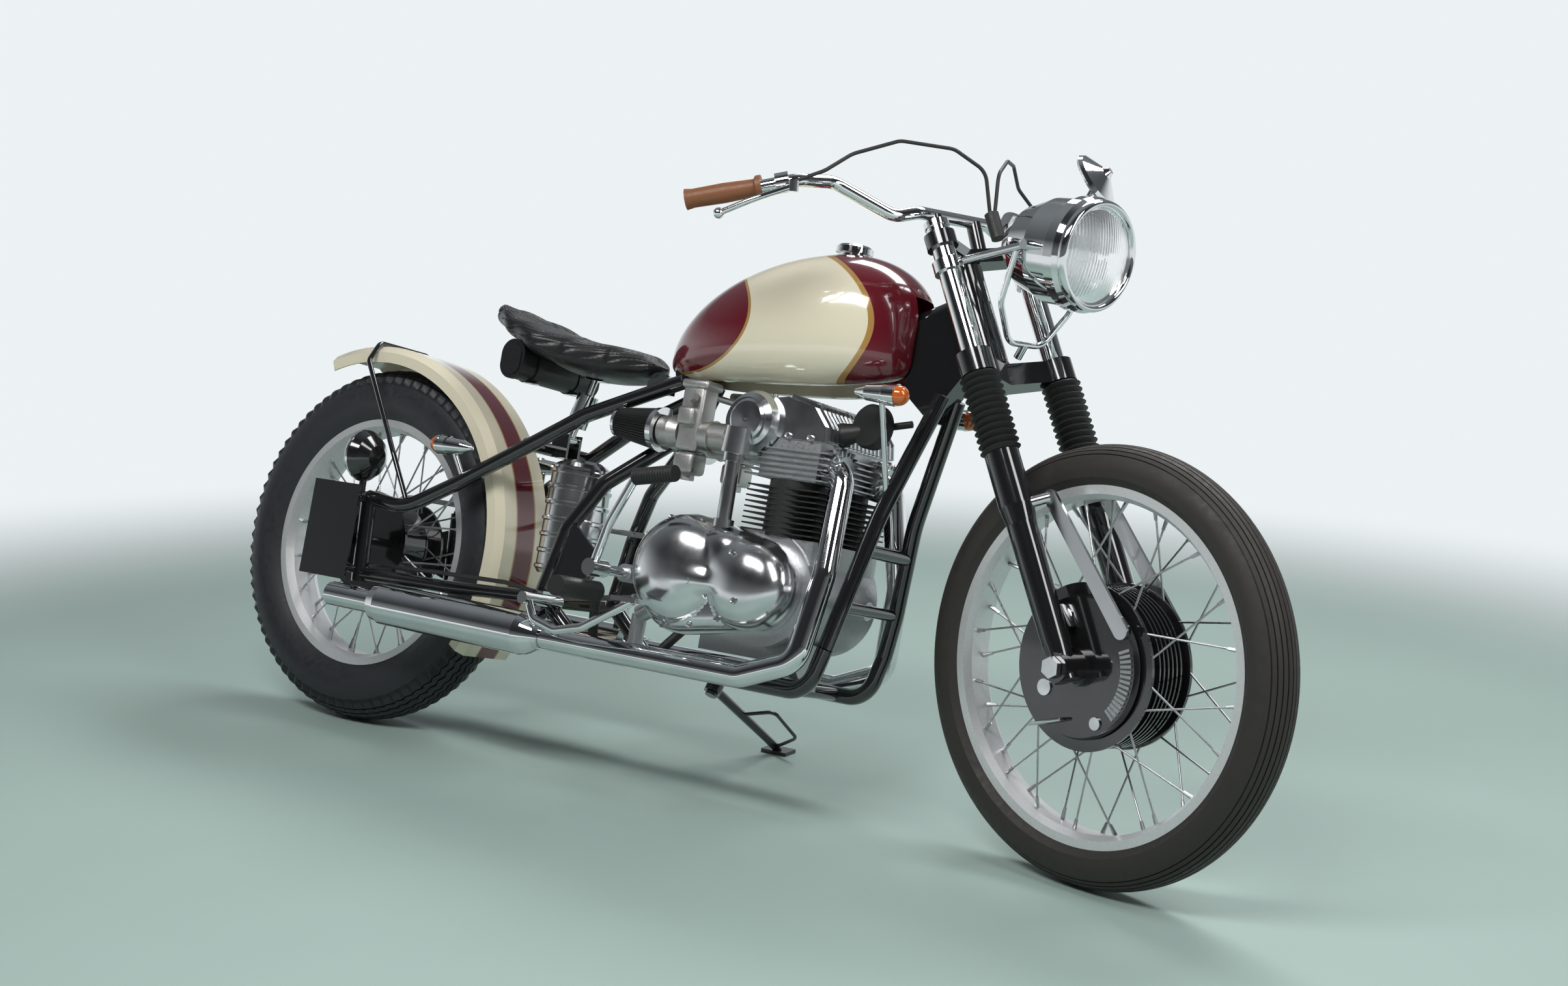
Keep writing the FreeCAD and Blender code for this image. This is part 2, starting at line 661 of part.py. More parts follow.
def lower_stays():
    """Lower stays with the upright tube and the slotted plate that holds the axle."""
    solids = []
    for side in SIDES:
        y = side * STAY_HALF
        stay = tube([(520, side * 108, 300), (300, side * 122, 288), (80, y, 284)], 12, 200)
        upright = rod((78, y, 268), (66, y, 430), 15)
        outline = [(84, 290), (84, 405), (-22, 372), (-22, 320)]
        axle_plate = plate(outline, y - PLATE_THICK / 2, y + PLATE_THICK / 2)
        solids.append(join([stay, upright, axle_plate]))
    hole = rod(rear_centre - Y_AXIS * 200, rear_centre + Y_AXIS * 200, AXLE_R)
    return Part.Compound(solids).cut(hole)


# ================================================================ engine
def crankcase():
    """Main castings: crank chamber, gearbox behind it and the sump, as one plain block."""
    body = two_circle_plate((CRANK_X, CRANK_Z), CASE_FRONT_R, (GEARBOX_X, GEARBOX_Z), CASE_REAR_R, -CASE_HALF, CASE_HALF)
    deck = block((CYLINDER_X - BARREL_HALF_X, -104, CRANK_Z), (CYLINDER_X + BARREL_HALF_X, 104, BARREL_Z[0]))
    sump = block((850, -70, 262), (1010, 70, 330))
    feet = [rod((x, 0, CRADLE_Z), (x, 0, 300), 14) for x in (1040, 660)]
    rear_foot = rod((660, 0, 300), (760, 0, 360), 16)
    filter_can = rod((1000, -50, 271), (1062, -50, 271), 33)
    lugs = [rod((1134, 0, 372), (1050, 0, 372), 16), rod((692, -CASE_HALF, KICK_Z), (692, -CASE_HALF + 44, KICK_Z), 16),
            rod((692, -CASE_HALF + 22, KICK_Z), (770, -CASE_HALF + 22, KICK_Z + 6), 14)]
    return join([body, deck, sump, rear_foot, filter_can] + feet + lugs)


def engine_covers():
    """Polished outer covers: clutch and bevel drive on the right, generator on the left."""
    right = two_circle_plate((840, 385), 104, (985, 383), 80, -CASE_HALF - SEAT_GAP, -COVER_OUT)
    clutch = turned([(0, 0), (0, 96), (14, 92), (26, 78), (BULGE, 52), (BULGE + 3, 0)], (838, -COVER_OUT + 1, 388), -Y_AXIS)
    bevel = turned([(0, 0), (0, 72), (14, 68), (26, 54), (BULGE - 4, 30), (BULGE, 0)], (985, -COVER_OUT + 1, 383), -Y_AXIS)
    boss = rod((917, BEVEL_Y, 400), (917, BEVEL_Y, 470), 20)
    left = two_circle_plate((850, 388), 84, (985, 383), 84, CASE_HALF + SEAT_GAP, COVER_OUT - 22)
    dome = turned([(0, 0), (0, 78), (16, 72), (26, 50), (28, 0)], (985, COVER_OUT - 23, 383), Y_AXIS)
    return Part.Compound([join([right, clutch, bevel, boss]), join([left, dome])])


def finned(core, fin_half_x, fin_half_y, low, high, centre_x):
    fins = []
    z = low + FIN_PITCH * 0.6
    while z + FIN_THICK < high:
        fins.append(block((centre_x - fin_half_x, -fin_half_y, z), (centre_x + fin_half_x, fin_half_y, z + FIN_THICK)))
        z += FIN_PITCH
    return join([core] + fins)


def cylinder_barrel():
    low, high = BARREL_Z
    core = join([rod((CYLINDER_X, side * CYLINDER_Y, low), (CYLINDER_X, side * CYLINDER_Y, high), 52) for side in SIDES]
                + [block((CYLINDER_X - 40, -CYLINDER_Y, low), (CYLINDER_X + 40, CYLINDER_Y, high))])
    return finned(core, BARREL_HALF_X, BARREL_HALF_Y, low, high - 4, CYLINDER_X)


def cylinder_head():
    low, high = HEAD_Z
    core = block((CYLINDER_X - 58, -108, low), (CYLINDER_X + 58, 108, high))
    body = finned(core, BARREL_HALF_X + 8, BARREL_HALF_Y, low - 3, high - 14, CYLINDER_X - 4)
    ports = []
    for side in SIDES:
        ports.append(rod((CYLINDER_X + 40, side * CYLINDER_Y, 604), (CYLINDER_X + 78, side * (CYLINDER_Y + 8), 596), 29))
        ports.append(rod((CYLINDER_X - 50, side * CYLINDER_Y, 612), (CYLINDER_X - 100, side * (CYLINDER_Y + 6), 618), 24))
    return join([body] + ports)


def cam_cover():
    """Rounded, ribbed cover over the camshaft, with the big bevel cap on its right end."""
    low = HEAD_Z[1]
    outline = [(CYLINDER_X - 92, low), (CYLINDER_X + 66, low), (CYLINDER_X + 62, low + 26), (CYLINDER_X + 36, low + 56),
               (CYLINDER_X - 20, low + 70), (CYLINDER_X - 70, low + 62), (CYLINDER_X - 92, low + 34)]
    hood = plate(outline, -112, 112)
    cap = turned([(0, 0), (0, 52), (10, 52), (24, 46), (34, 30), (37, 0)], (921, -111, 658), -Y_AXIS)
    housing = rod((915, BEVEL_Y, 596), (918, BEVEL_Y, 640), 24)
    reach = rod((918, -110, 655), (918, -142, 655), 40)
    return join([hood, cap, housing, reach]).cut(block((880, -108, 560), (1100, 108, low)))


def bevel_drive():
    """Tube that carries the shaft from the right cover up to the camshaft."""
    return join([rod((917, BEVEL_Y, 470), (915, BEVEL_Y, 596), 13), rod((917, BEVEL_Y, 470), (917, BEVEL_Y, 484), 18),
                 rod((915, BEVEL_Y, 582), (915, BEVEL_Y, 596), 18)])


def carburettors():
    solids = []
    for side in SIDES:
        y = side * CARB_Y
        body = block((738, y - 26, 590), (792, y + 26, 716))
        bore = rod((722, y, 628), (846, y, 626), 26)
        boot = rod((846, y, 626), (CYLINDER_X - 100, side * (CYLINDER_Y + 6), 618), 25)
        bowl = block((742, y - 24, 552), (788, y + 24, 592))
        stub = rod((700, y, 628), (724, y, 628), 27)
        solids.append(join([body, bore, boot, bowl, stub]))
    link = rod((770, -CARB_Y, 700), (770, CARB_Y, 700), 6)
    return join(solids + [link])


def air_filters():
    solids = []
    for side in SIDES:
        y = side * CARB_Y
        solids.append(rod((722, y, 628), (594, y + side * 2, 634), 40, 27))
    return Part.Compound(solids)


def kick_starter():
    """Folding kick pedal on its curved lever, right side."""
    lever = tube([(692, -196, KICK_Z), (712, -198, 444), (757, -200, 536)], 8, 120)
    hub = rod((692, -COVER_OUT - 6, KICK_Z), (692, -208, KICK_Z), 15)
    pedal = rod((755, -200, 532), (838, -204, 546), 12)
    root = rod((692, -CASE_HALF + 4, KICK_Z), (692, -COVER_OUT - 8, KICK_Z), 9)
    return join([lever, hub, pedal, root])


# ================================================================ exhaust
HEADER_ROUTE = [(1052, -70, 600), (1092, -80, 592), (1112, -120, 420), (1098, -142, 270), (1000, -150, 232), (575, -150, 232)]
HEADER_BENDS = 40


def headers():
    pipe = tube(HEADER_ROUTE, PIPE_R, HEADER_BENDS)
    return both_sides(pipe)


def mufflers():
    profile = [(0, 0), (0, PIPE_R + 4), (12, PIPE_R + 5), (34, MUFFLER_R - 3), (48, MUFFLER_R), (392, MUFFLER_R),
               (412, MUFFLER_R - 4), (420, TAILPIPE_R), (536, TAILPIPE_R), (536, TAILPIPE_R - 3), (424, TAILPIPE_R - 3), (424, 0)]
    can = turned(profile, (574.5, -150, 232), (-1, 0, 0.01))
    bracket = block((522, -128, 262), (536, -105, 312))
    hanger = block((522, -150, 262), (536, -122, 276))
    return both_sides(join([can, bracket, hanger]))


# ================================================================ tank, seat and rear pieces
def tank_section(x, half, low, high, shoulder):
    """Closed section of the tank: flat-bellied, round-shouldered, narrow on top."""
    middle = low + (high - low) * 0.42
    right = [(half * 0.55, low), (half * 0.90, low + (middle - low) * 0.35), (half, middle),
             (half * shoulder, low + (high - low) * 0.78), (half * 0.42, high - (high - low) * 0.04)]
    points = [(x, 0, low)] + [(x, y, z) for y, z in right] + [(x, 0, high)]
    points += [(x, -y, z) for y, z in reversed(right)]
    return points


TANK_STATIONS = [   # share of the length, share of the half width, underside, top, shoulder
    (0.0, 0.20, 742, 778, 0.80), (0.06, 0.48, 732, 832, 0.80), (0.20, 0.78, 728, 896, 0.80),
    (0.38, 0.95, 730, 942, 0.82), (0.60, 1.0, 734, 970, 0.84), (0.78, 0.94, 742, 970, 0.84),
    (0.90, 0.76, 752, 948, 0.84), (0.97, 0.52, 764, 916, 0.82), (1.0, 0.28, 784, 882, 0.80),
]


def fuel_tank():
    sections = []
    for share, width, low, high, shoulder in TANK_STATIONS:
        x = TANK_REAR_X + share * (TANK_FRONT_X - TANK_REAR_X)
        sections.append(tank_section(x, width * TANK_HALF, low, high, shoulder))
    body = ring_loft(sections)
    backbone = tube([(1230, 0, 905), (1120, 0, 850), (900, 0, 800), (640, 0, 725)], BACKBONE_R + 4, 300)
    tunnel = block((640, -BACKBONE_R - 4, 700), (1120, BACKBONE_R + 4, 800))
    neck = block((1095, -30, 690), (1240, 30, 905))
    return body.cut(backbone.fuse(tunnel)).cut(neck)


def fuel_cap():
    base = V(986, 0, 968)
    return turned([(-6, 0), (-6, 24), (8, 24), (9, 33), (19, 33), (23, 28), (23, 0)], base, Z_AXIS).cut(fuel_tank())


def seat():
    """Solo saddle: narrow nose, wide dished rear that turns up."""
    stations = [  # x, half width, underside, top
        (SEAT_NOSE_X, 16, 735, 752), (600, 40, 722, 768), (540, 76, 714, 780), (472, 120, 716, 786),
        (412, 136, 734, 796), (352, 124, 764, 812), (302, 102, 784, 830), (260, 74, 806, 848),
        (SEAT_REAR_X, 36, 826, 851),
    ]
    sections = []
    for x, half, low, high in stations:
        middle = (low + high) / 2
        right = [(half * 0.6, low), (half * 0.95, low + 8), (half, middle), (half * 0.85, high - 6), (half * 0.45, high - 4)]
        sections.append([(x, 0, low)] + [(x, y, z) for y, z in right] + [(x, 0, high - 8)]
                        + [(x, -y, z) for y, z in reversed(right)])
    return ring_loft(sections)


def seat_springs():
    """Coil-over strut under the saddle and the hinge bracket at its nose."""
    foot, top = V(428, 0, 596), V(462, 0, 714)
    along = (top - foot).normalize()
    strut = rod(foot, top, 7)
    coil = turned([(28, 0), (28, 20), (92, 20), (92, 0)], foot, along)
    eye = rod(foot - Y_AXIS * 13.5, foot + Y_AXIS * 13.5, 9)
    head = block((446, -24, 712), (482, 24, 719.5))
    hinge = block((598, -16, 700), (640, 16, 734))
    spring = join([strut, coil, eye, head])
    return Part.Compound([spring, hinge])


def tool_bag():
    """Leather tool roll under the rear of the saddle, across the machine: an upright oval in section."""
    return two_circle_plate((BAG_X, BAG_Z - 9), 27, (BAG_X, BAG_Z + 9), 27.01, -BAG_HALF, BAG_HALF)


def oil_canister():
    """Ribbed aluminium canister between the rear fender and the seat posts."""
    profile = [(0, 0), (0, 52)]
    height, ribs = 210.0, 7
    for index in range(ribs):
        s = 12 + index * (height - 30) / (ribs - 1)
        profile += [(s - 5, 57), (s - 2.5, 60), (s + 2.5, 60), (s + 5, 57)]
    profile += [(height - 8, 57), (height, 44), (height + 6, 30), (height + 6, 0)]
    return turned(profile, (472, 0, 344), Z_AXIS)


def fender_point(angle, outward=0.0):
    """A point on the crown of the fender, at an angle from straight up, positive forwards."""
    reach = REAR_TYRE_R + FENDER_GAP + FENDER_THICK + outward
    turn = radians(angle)
    return rear_centre + V(FENDER_SHIFT_X + reach * sin(turn), 0, FENDER_SHIFT_Z + reach * cos(turn))


def rear_fender():
    """Curved mudguard, open below, from its tail behind the wheel's top down to its front end."""
    inner = REAR_TYRE_R + FENDER_GAP
    outer = inner + FENDER_THICK
    half, shoulder, skirt = FENDER_HALF, FENDER_HALF - 14, inner - FENDER_SKIRT
    outline = [(-half, skirt), (-half, outer - 13), (-shoulder, outer), (shoulder, outer), (half, outer - 13),
               (half, skirt), (half - FENDER_THICK, skirt), (half - FENDER_THICK, inner - 12),
               (shoulder - 1, inner), (1 - shoulder, inner), (FENDER_THICK - half, inner - 12),
               (FENDER_THICK - half, skirt)]
    points = [V(0, y, r) for y, r in outline]
    face = Part.Face(Part.makePolygon(points + points[:1]))
    face.rotate(V(0, 0, 0), Y_AXIS, FENDER_TAIL)
    shell = face.revolve(V(0, 0, 0), Y_AXIS, FENDER_FRONT - FENDER_TAIL)
    shell = shell.translated(rear_centre + V(FENDER_SHIFT_X, 0, FENDER_SHIFT_Z))
    notch = chain_way(CHAIN_DEPTH + 4, SPROCKET_Y - CHAIN_HALF - 3, FENDER_HALF + 8)
    return shell.cut(notch)


def fender_strut():
    """Bent rod from each stay up and over the fender's rear end."""
    wire_r = 5
    crown = fender_point(-4, wire_r + SEAT_GAP)
    knee = FENDER_HALF - 6
    return tube([(158, -122, 436), (100, -118, 520), (crown.x + 6, -96, crown.z - 40), (crown.x, -knee, crown.z),
                 (crown.x, knee, crown.z), (crown.x + 6, 96, crown.z - 40), (100, 118, 520), (158, 122, 436)],
                wire_r, 18)


def number_plate():
    """Blank upright plate and its backing bracket, on the right-hand axle plate."""
    sheet = block((-38, -172, 268), (84, -168, 450))
    arm = rod((66, -168, 425), (66, -STAY_HALF - 15, 425), 7)
    lower_arm = rod((70, -168, 290), (70, -STAY_HALF - 15, 290), 7)
    return join([sheet, arm, lower_arm])


def tail_light():
    lens = turned([(0, 0), (0, 44), (8, 48), (14, 48), (30, 40), (44, 22), (48, 0)], (48, -150, 506), (1, 0, 0))
    stalk = rod((66, -150, 462), (66, -150, 430), 7)
    return join([lens, stalk, rod((66, -150, 430), (66, -STAY_HALF - 15, 430), 7)])


def indicator(x, y, z, root, facing):
    body = turned([(0, 0), (0, 18), (22, 18), (24, 16), (58, 13), (80, 5), (84, 0)], (x, y, z), (-facing, 0, 0))
    return join([body, rod(root, (x - facing * 30, y, z), 5)])


def indicators():
    """Bullet indicators: front pair on the downtubes, rear pair on the stays."""
    lamps = []
    for side in SIDES:
        lamps.append(indicator(1194, side * 122, 724, (1166, side * 56, 560), 1))
        lamps.append(indicator(232, side * 134, 548, (282, side * 112, 492), -1))
    return Part.Compound(lamps)


def horn():
    disc = turned([(0, 0), (0, 34), (6, 38), (24, 38), (30, 30), (30, 0)], (1112, -66, 676), (0.2, 1, 0))
    mouth = rod((1100, -50, 668), (1056, -56, 655), 12, 22)
    bracket = rod((1120, -40, 676), (1176, -30, 690), 6)
    return join([disc, mouth, bracket])


def footpegs():
    pegs = []
    for side in SIDES:
        pegs.append(join([rod((685, side * 165, 328), (685, side * 276, 328), 18),
                          rod((685, side * 165, 328), (640, side * CRADLE_HALF, 232), 9)]))
    return Part.Compound(pegs)


def foot_controls():
    """Brake pedal on the right, gear pedal on the left."""
    brake = tube([(556, -190, 296), (585, -200, 262), (640, -204, 250), (700, -206, 264), (800, -208, 322)], 7.5, 26)
    brake_boss = rod((556, -206, 296), (556, -CRADLE_HALF - 8, 296), 11)
    brake_pad = block((780, -244, 320), (832, -194, 328))
    gear = tube([(760, 178, 330), (800, 182, 322), (862, 186, 318)], 6, 30)
    gear_boss = rod((760, 184, 330), (760, CASE_HALF, 348), 9)
    toe = rod((862, 176, 318), (862, 224, 318), 9)
    return Part.Compound([join([brake, brake_boss, brake_pad]), join([gear, gear_boss, toe])])


def rear_brake_cable():
    return tube([(556, -176, 309), (480, -168, 316), (300, -150, 312), (120, -112, 305), (40, -84, 300)], 4, 60)


def chain_way(outward, low, high):
    """Solid plate inside the chain's loop, grown outwards from its pitch line."""
    return two_circle_plate((0, REAR_TYRE_R), CHAIN_REAR_R + outward, CHAIN_FRONT, CHAIN_FRONT_R + outward, low, high)


def drive_chain():
    """Chain loop from the gearbox sprocket to the rear wheel."""
    low, high = SPROCKET_Y - CHAIN_HALF, SPROCKET_Y + CHAIN_HALF
    return chain_way(CHAIN_DEPTH, low, high).cut(chain_way(-CHAIN_DEPTH, low - 5, high + 5))


# ================================================================ side stand
STAND_PIVOT = V(764, 120, 190)
STAND_FOOT = V(789, 339.2, 0)                # on the floor, once leaned; Y from the wheels' plane
STAND_AXIS = V(0, 0.431, 0.902).normalize()  # the pivot bolt tips outwards, so the leg folds up and back
STAND_PIN_R = 7.0
STAND_EYE_HALF = 9.0
floor_drop = REAR_TYRE_HALF * (1 - cos(lean))
lean_turn = FreeCAD.Rotation(X_AXIS, -LEAN)
unlean_turn = FreeCAD.Rotation(X_AXIS, LEAN)


def side_stand():
    """Leg with its eye, foot pad flat on the floor, and the bent wire tang."""
    eye = rod(STAND_PIVOT - STAND_AXIS * STAND_EYE_HALF, STAND_PIVOT + STAND_AXIS * STAND_EYE_HALF, 16)
    hole = rod(STAND_PIVOT - STAND_AXIS * 30, STAND_PIVOT + STAND_AXIS * 30, STAND_PIN_R + RUNNING)
    pad_top = 7.0
    on_floor = V(STAND_FOOT.x, STAND_FOOT.y, -floor_drop)
    pad = Part.makeBox(56, 34, pad_top, on_floor - V(28, 17, 0))
    pad.rotate(V(0, 0, 0), X_AXIS, LEAN)
    ankle = unlean_turn.multVec(on_floor + Z_AXIS * (pad_top - 1))
    leg = rod(STAND_PIVOT, ankle, 9.5, 8)
    middle = STAND_PIVOT + (ankle - STAND_PIVOT) * 0.42
    tang = tube([tuple(ankle + V(8, -14, 8)), tuple(ankle + V(58, -34, 30)), tuple(middle + V(64, 10, 16)),
                 tuple(middle + V(2, 0, 0))], 3.5, 16)
    return join([eye, leg, pad, tang]).cut(hole)


def stand_bracket():
    """Lug and pivot pin of the side stand on the left bottom rail."""
    pin = rod(STAND_PIVOT - STAND_AXIS * 13, STAND_PIVOT + STAND_AXIS * 24, STAND_PIN_R)
    head = rod(STAND_PIVOT - STAND_AXIS * 16, STAND_PIVOT - STAND_AXIS * (STAND_EYE_HALF + 1), 11)
    cheek = rod(STAND_PIVOT + STAND_AXIS * (STAND_EYE_HALF + 1), STAND_PIVOT + STAND_AXIS * 24, 14)
    lug = rod(STAND_PIVOT + STAND_AXIS * 21, V(STAND_PIVOT.x, CRADLE_HALF, CRADLE_Z), 9)
    return join([pin, head, cheek, lug])


# ================================================================ assembly
def build_upright():
    """Every node of the upright, straight machine: name -> (body, shape)."""
    nodes = {}

    def add(name, body, shape, *neighbours):
        for other in neighbours:
            shape = shape.cut(nodes[other][1])
        nodes[name] = (body, shape)

    add("frame_neck", "frame", frame_neck())
    add("frame_downtubes", "frame", frame_downtubes(), "frame_neck")
    add("frame_cradle", "frame", join([frame_cradle(), stand_bracket()]), "frame_downtubes")
    add("seat_posts", "frame", seat_posts(), "frame_neck", "frame_cradle")
    add("upper_stays", "frame", upper_stays(), "frame_neck", "seat_posts")
    add("lower_stays", "frame", lower_stays(), "frame_cradle", "seat_posts", "upper_stays")
    add("rear_axle", "frame", rear_axle())

    add("crankcase", "frame", crankcase(), "frame_downtubes", "frame_cradle")
    add("engine_covers", "frame", engine_covers())
    add("cylinder_barrel", "frame", cylinder_barrel(), "crankcase")
    add("cylinder_head", "frame", cylinder_head())
    add("cam_cover", "frame", cam_cover(), "cylinder_head")
    add("bevel_drive", "frame", bevel_drive(), "engine_covers", "cam_cover")
    add("carburettors", "frame", carburettors(), "cylinder_head")
    add("air_filters", "frame", air_filters(), "carburettors")
    add("headers", "frame", headers(), "cylinder_head")
    add("mufflers", "frame", mufflers(), "headers", "frame_cradle", "seat_posts")
    add("kick_starter", "frame", kick_starter(), "engine_covers", "crankcase")
    add("foot_controls", "frame", foot_controls(), "engine_covers", "crankcase", "frame_cradle", "headers", "mufflers")
    add("footpegs", "frame", footpegs(), "frame_cradle", "headers")
    add("drive_chain", "frame", drive_chain(), "crankcase")

    add("fuel_tank", "frame", fuel_tank(), "frame_neck", "seat_posts")
    add("fuel_cap", "frame", fuel_cap(), "fuel_tank")
    add("seat", "frame", seat())
    add("seat_springs", "frame", seat_springs(), "upper_stays", "frame_neck", "seat")
    add("tool_bag", "frame", tool_bag(), "seat")
    add("oil_canister", "frame", oil_canister())
    add("rear_fender", "frame", rear_fender(), "upper_stays")
    add("fender_strut", "frame", fender_strut(), "upper_stays", "rear_fender")
    add("number_plate", "frame", number_plate(), "lower_stays", "upper_stays")
    add("tail_light", "frame", tail_light(), "lower_stays", "upper_stays", "number_plate")
    add("indicators", "frame", indicators(), "frame_downtubes", "upper_stays", "fender_strut")
    add("horn", "frame", horn(), "frame_downtubes", "frame_neck", "cam_cover")
    add("rear_brake_cable", "frame", rear_brake_cable(), "foot_controls")

    add("fork_yokes", "steering", fork_yokes())
    add("fork_tubes", "steering", fork_tubes(), "fork_yokes")
    add("fork_gaiters", "steering", fork_gaiters())
    add("fork_sliders", "steering", fork_sliders())
    add("front_axle", "steering", front_axle())
    add("brake_plates", "steering", brake_plates())
    add("torque_arms", "steering", torque_arms(), "fork_sliders", "brake_plates")
    add("handlebar", "steering", handlebar(), "fork_yokes")
    add("grips", "steering", grips())
    add("hand_levers", "steering", hand_levers(), "handlebar", "grips")
    add("headlight", "steering", headlight())
    add("headlight_bracket", "steering", headlight_bracket(), "headlight", "fork_tubes")
    add("headlight_loop", "steering", headlight_loop(), "headlight", "headlight_bracket", "fork_yokes")
    add("mirror", "steering", mirror(), "headlight")
    add("control_cables", "steering", control_cables(), "fork_yokes", "handlebar", "hand_levers", "headlight")

    front_flange = FRONT_DRUM_R - 5
    rear_flange = REAR_DRUM_R - 5
    add("front_hub", "front_wheel", front_hub())
    add("front_rim", "front_wheel", rim(front_centre, FRONT_RIM_R, FRONT_RIM_HALF))
    add("front_spokes", "front_wheel",
        spokes(front_centre, FRONT_DRUM_HALF - 3, front_flange, FRONT_RIM_R, FRONT_RIM_HALF))
    add("front_tyre", "front_wheel",
        tyre(front_centre, FRONT_TYRE_R, FRONT_TYRE_HALF, FRONT_RIM_R, FRONT_RIM_HALF))
    add("rear_hub", "rear_wheel", rear_hub())
    add("rear_rim", "rear_wheel", rim(rear_centre, REAR_RIM_R, REAR_RIM_HALF))
    add("rear_spokes", "rear_wheel",
        spokes(rear_centre, REAR_DRUM_HALF - 3, 58, REAR_RIM_R, REAR_RIM_HALF, 0.5))
    add("rear_tyre", "rear_wheel", tyre(rear_centre, REAR_TYRE_R, REAR_TYRE_HALF, REAR_RIM_R, REAR_RIM_HALF))
    add("side_stand", "side_stand", side_stand())
    return nodes


def park(nodes):
    """Turn the fork, lean the machine, and put the middle of its footprint at the origin."""
    parked = {}
    for name, (body, shape) in nodes.items():
        shape = shape.copy()
        if body in ("steering", "front_wheel"):
            shape.rotate(AXIS_FOOT, up_fork, -STEER_REST)
        shape.rotate(V(0, 0, 0), X_AXIS, -LEAN)
        parked[name] = shape
    boxes = [shape.optimalBoundingBox(False, False) for shape in parked.values()]
    middle_x = (min(box.XMin for box in boxes) + max(box.XMax for box in boxes)) / 2
    middle_y = (min(box.YMin for box in boxes) + max(box.YMax for box in boxes)) / 2
    shift = V(-middle_x, -middle_y, -min(box.ZMin for box in boxes))
    return {name: shape.translated(shift) for name, shape in parked.items()}, shift


def parked_point(point, with_fork, shift):
    if with_fork:
        point = AXIS_FOOT + steered(point - AXIS_FOOT)
    return lean_turn.multVec(point) + shift


def parked_direction(vector, with_fork):
    return lean_turn.multVec(steered(vector) if with_fork else vector)


def main():
    os.makedirs("parts", exist_ok=True)
    upright = build_upright()
    parked, shift = park(upright)
    for name, shape in parked.items():
        if not shape.isValid():
            print("not valid:", name)
        print(f"{name:20s} {upright[name][0]:12s} solids {len(shape.Solids):3d}  {shape.Volume / 1e3:9.1f} cm3")
        whole = shape.Solids[0] if len(shape.Solids) == 1 else Part.Compound(shape.Solids)
        whole.exportStep(f"parts/{name}.step")
    print("shift", tuple(round(value, 3) for value in shift), "front axle station", round(AXLE_STATION, 2))
    joints = {
        "steering": (AXIS_FOOT + up_fork * sum(HEADSTOCK) / 2, up_fork, False),
        "front_wheel": (front_centre, Y_AXIS, True),
        "rear_wheel": (rear_centre, Y_AXIS, False),
        "side_stand": (STAND_PIVOT, STAND_AXIS, False),
    }
    for name, (place, axis, with_fork) in joints.items():
        at = parked_point(place, with_fork, shift) / 1000
        along = parked_direction(axis, with_fork)
        print("joint", name, *(f"{value:.6f}" for value in (*at, *along)))
    mounts = {
        "front_axle_bore": (front_centre, Y_AXIS, True),
        "rear_axle_end": (rear_centre + Y_AXIS * (STAY_HALF + PLATE_THICK / 2 + NUT_THICK + AXLE_STUB / 2), Y_AXIS, False),
    }
    for name, (place, axis, with_fork) in mounts.items():
        at = parked_point(place, with_fork, shift) / 1000
        along = parked_direction(axis, with_fork)
        print("mount", name, *(f"{value:.6f}" for value in (*at, *along)))


main()
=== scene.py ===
import json
from math import atan2, cos, pi, radians, sin

import bmesh
import bpy
from mathutils import Matrix, Vector


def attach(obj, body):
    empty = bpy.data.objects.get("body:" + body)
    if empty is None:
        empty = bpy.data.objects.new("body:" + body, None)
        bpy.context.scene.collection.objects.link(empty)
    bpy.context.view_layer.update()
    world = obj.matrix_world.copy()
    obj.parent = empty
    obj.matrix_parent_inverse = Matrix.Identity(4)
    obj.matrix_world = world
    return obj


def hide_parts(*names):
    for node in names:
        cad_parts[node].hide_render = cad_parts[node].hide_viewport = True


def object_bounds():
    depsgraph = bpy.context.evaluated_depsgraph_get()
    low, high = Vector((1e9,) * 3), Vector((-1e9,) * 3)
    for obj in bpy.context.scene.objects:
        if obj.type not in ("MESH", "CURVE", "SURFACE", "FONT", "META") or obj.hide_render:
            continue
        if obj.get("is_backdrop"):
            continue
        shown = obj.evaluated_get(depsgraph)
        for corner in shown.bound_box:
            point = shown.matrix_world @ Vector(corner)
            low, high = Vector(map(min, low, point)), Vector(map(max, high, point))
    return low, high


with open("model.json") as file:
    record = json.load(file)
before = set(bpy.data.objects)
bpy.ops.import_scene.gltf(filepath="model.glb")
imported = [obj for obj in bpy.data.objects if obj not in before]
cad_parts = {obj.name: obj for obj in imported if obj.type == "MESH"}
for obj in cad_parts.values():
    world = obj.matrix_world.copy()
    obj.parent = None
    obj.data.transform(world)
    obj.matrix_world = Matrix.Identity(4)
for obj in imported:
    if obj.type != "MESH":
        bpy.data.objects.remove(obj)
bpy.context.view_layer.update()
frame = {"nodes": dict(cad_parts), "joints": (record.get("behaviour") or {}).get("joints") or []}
scene = bpy.context.scene

# ---------------------------------------------------------------- the stage
# A pale floor that fades into a pale surround, with three soft overhead panels.  The camera stands
# ahead and to the right of the machine, level with its bars, and looks back and slightly down.
joints = {joint["name"]: joint for joint in frame["joints"]}
rear_axle = Vector(joints["rear_wheel"]["pos_m"])
front_axle = Vector(joints["front_wheel"]["pos_m"])
BACKDROP = (0.84, 0.885, 0.90, 1)
FLOOR_GREEN = (0.36, 0.47, 0.43, 1)
FADE_FROM, FADE_TO = 1.9, 3.6
LOOK_FLAT = Vector((-0.5676, 0.8233, 0)).normalized()    # the way the camera faces, on the flat


def new_material(name):
    material = bpy.data.materials.new(name)
    material.use_nodes = True
    material.node_tree.nodes.clear()
    return material, material.node_tree.nodes, material.node_tree.links


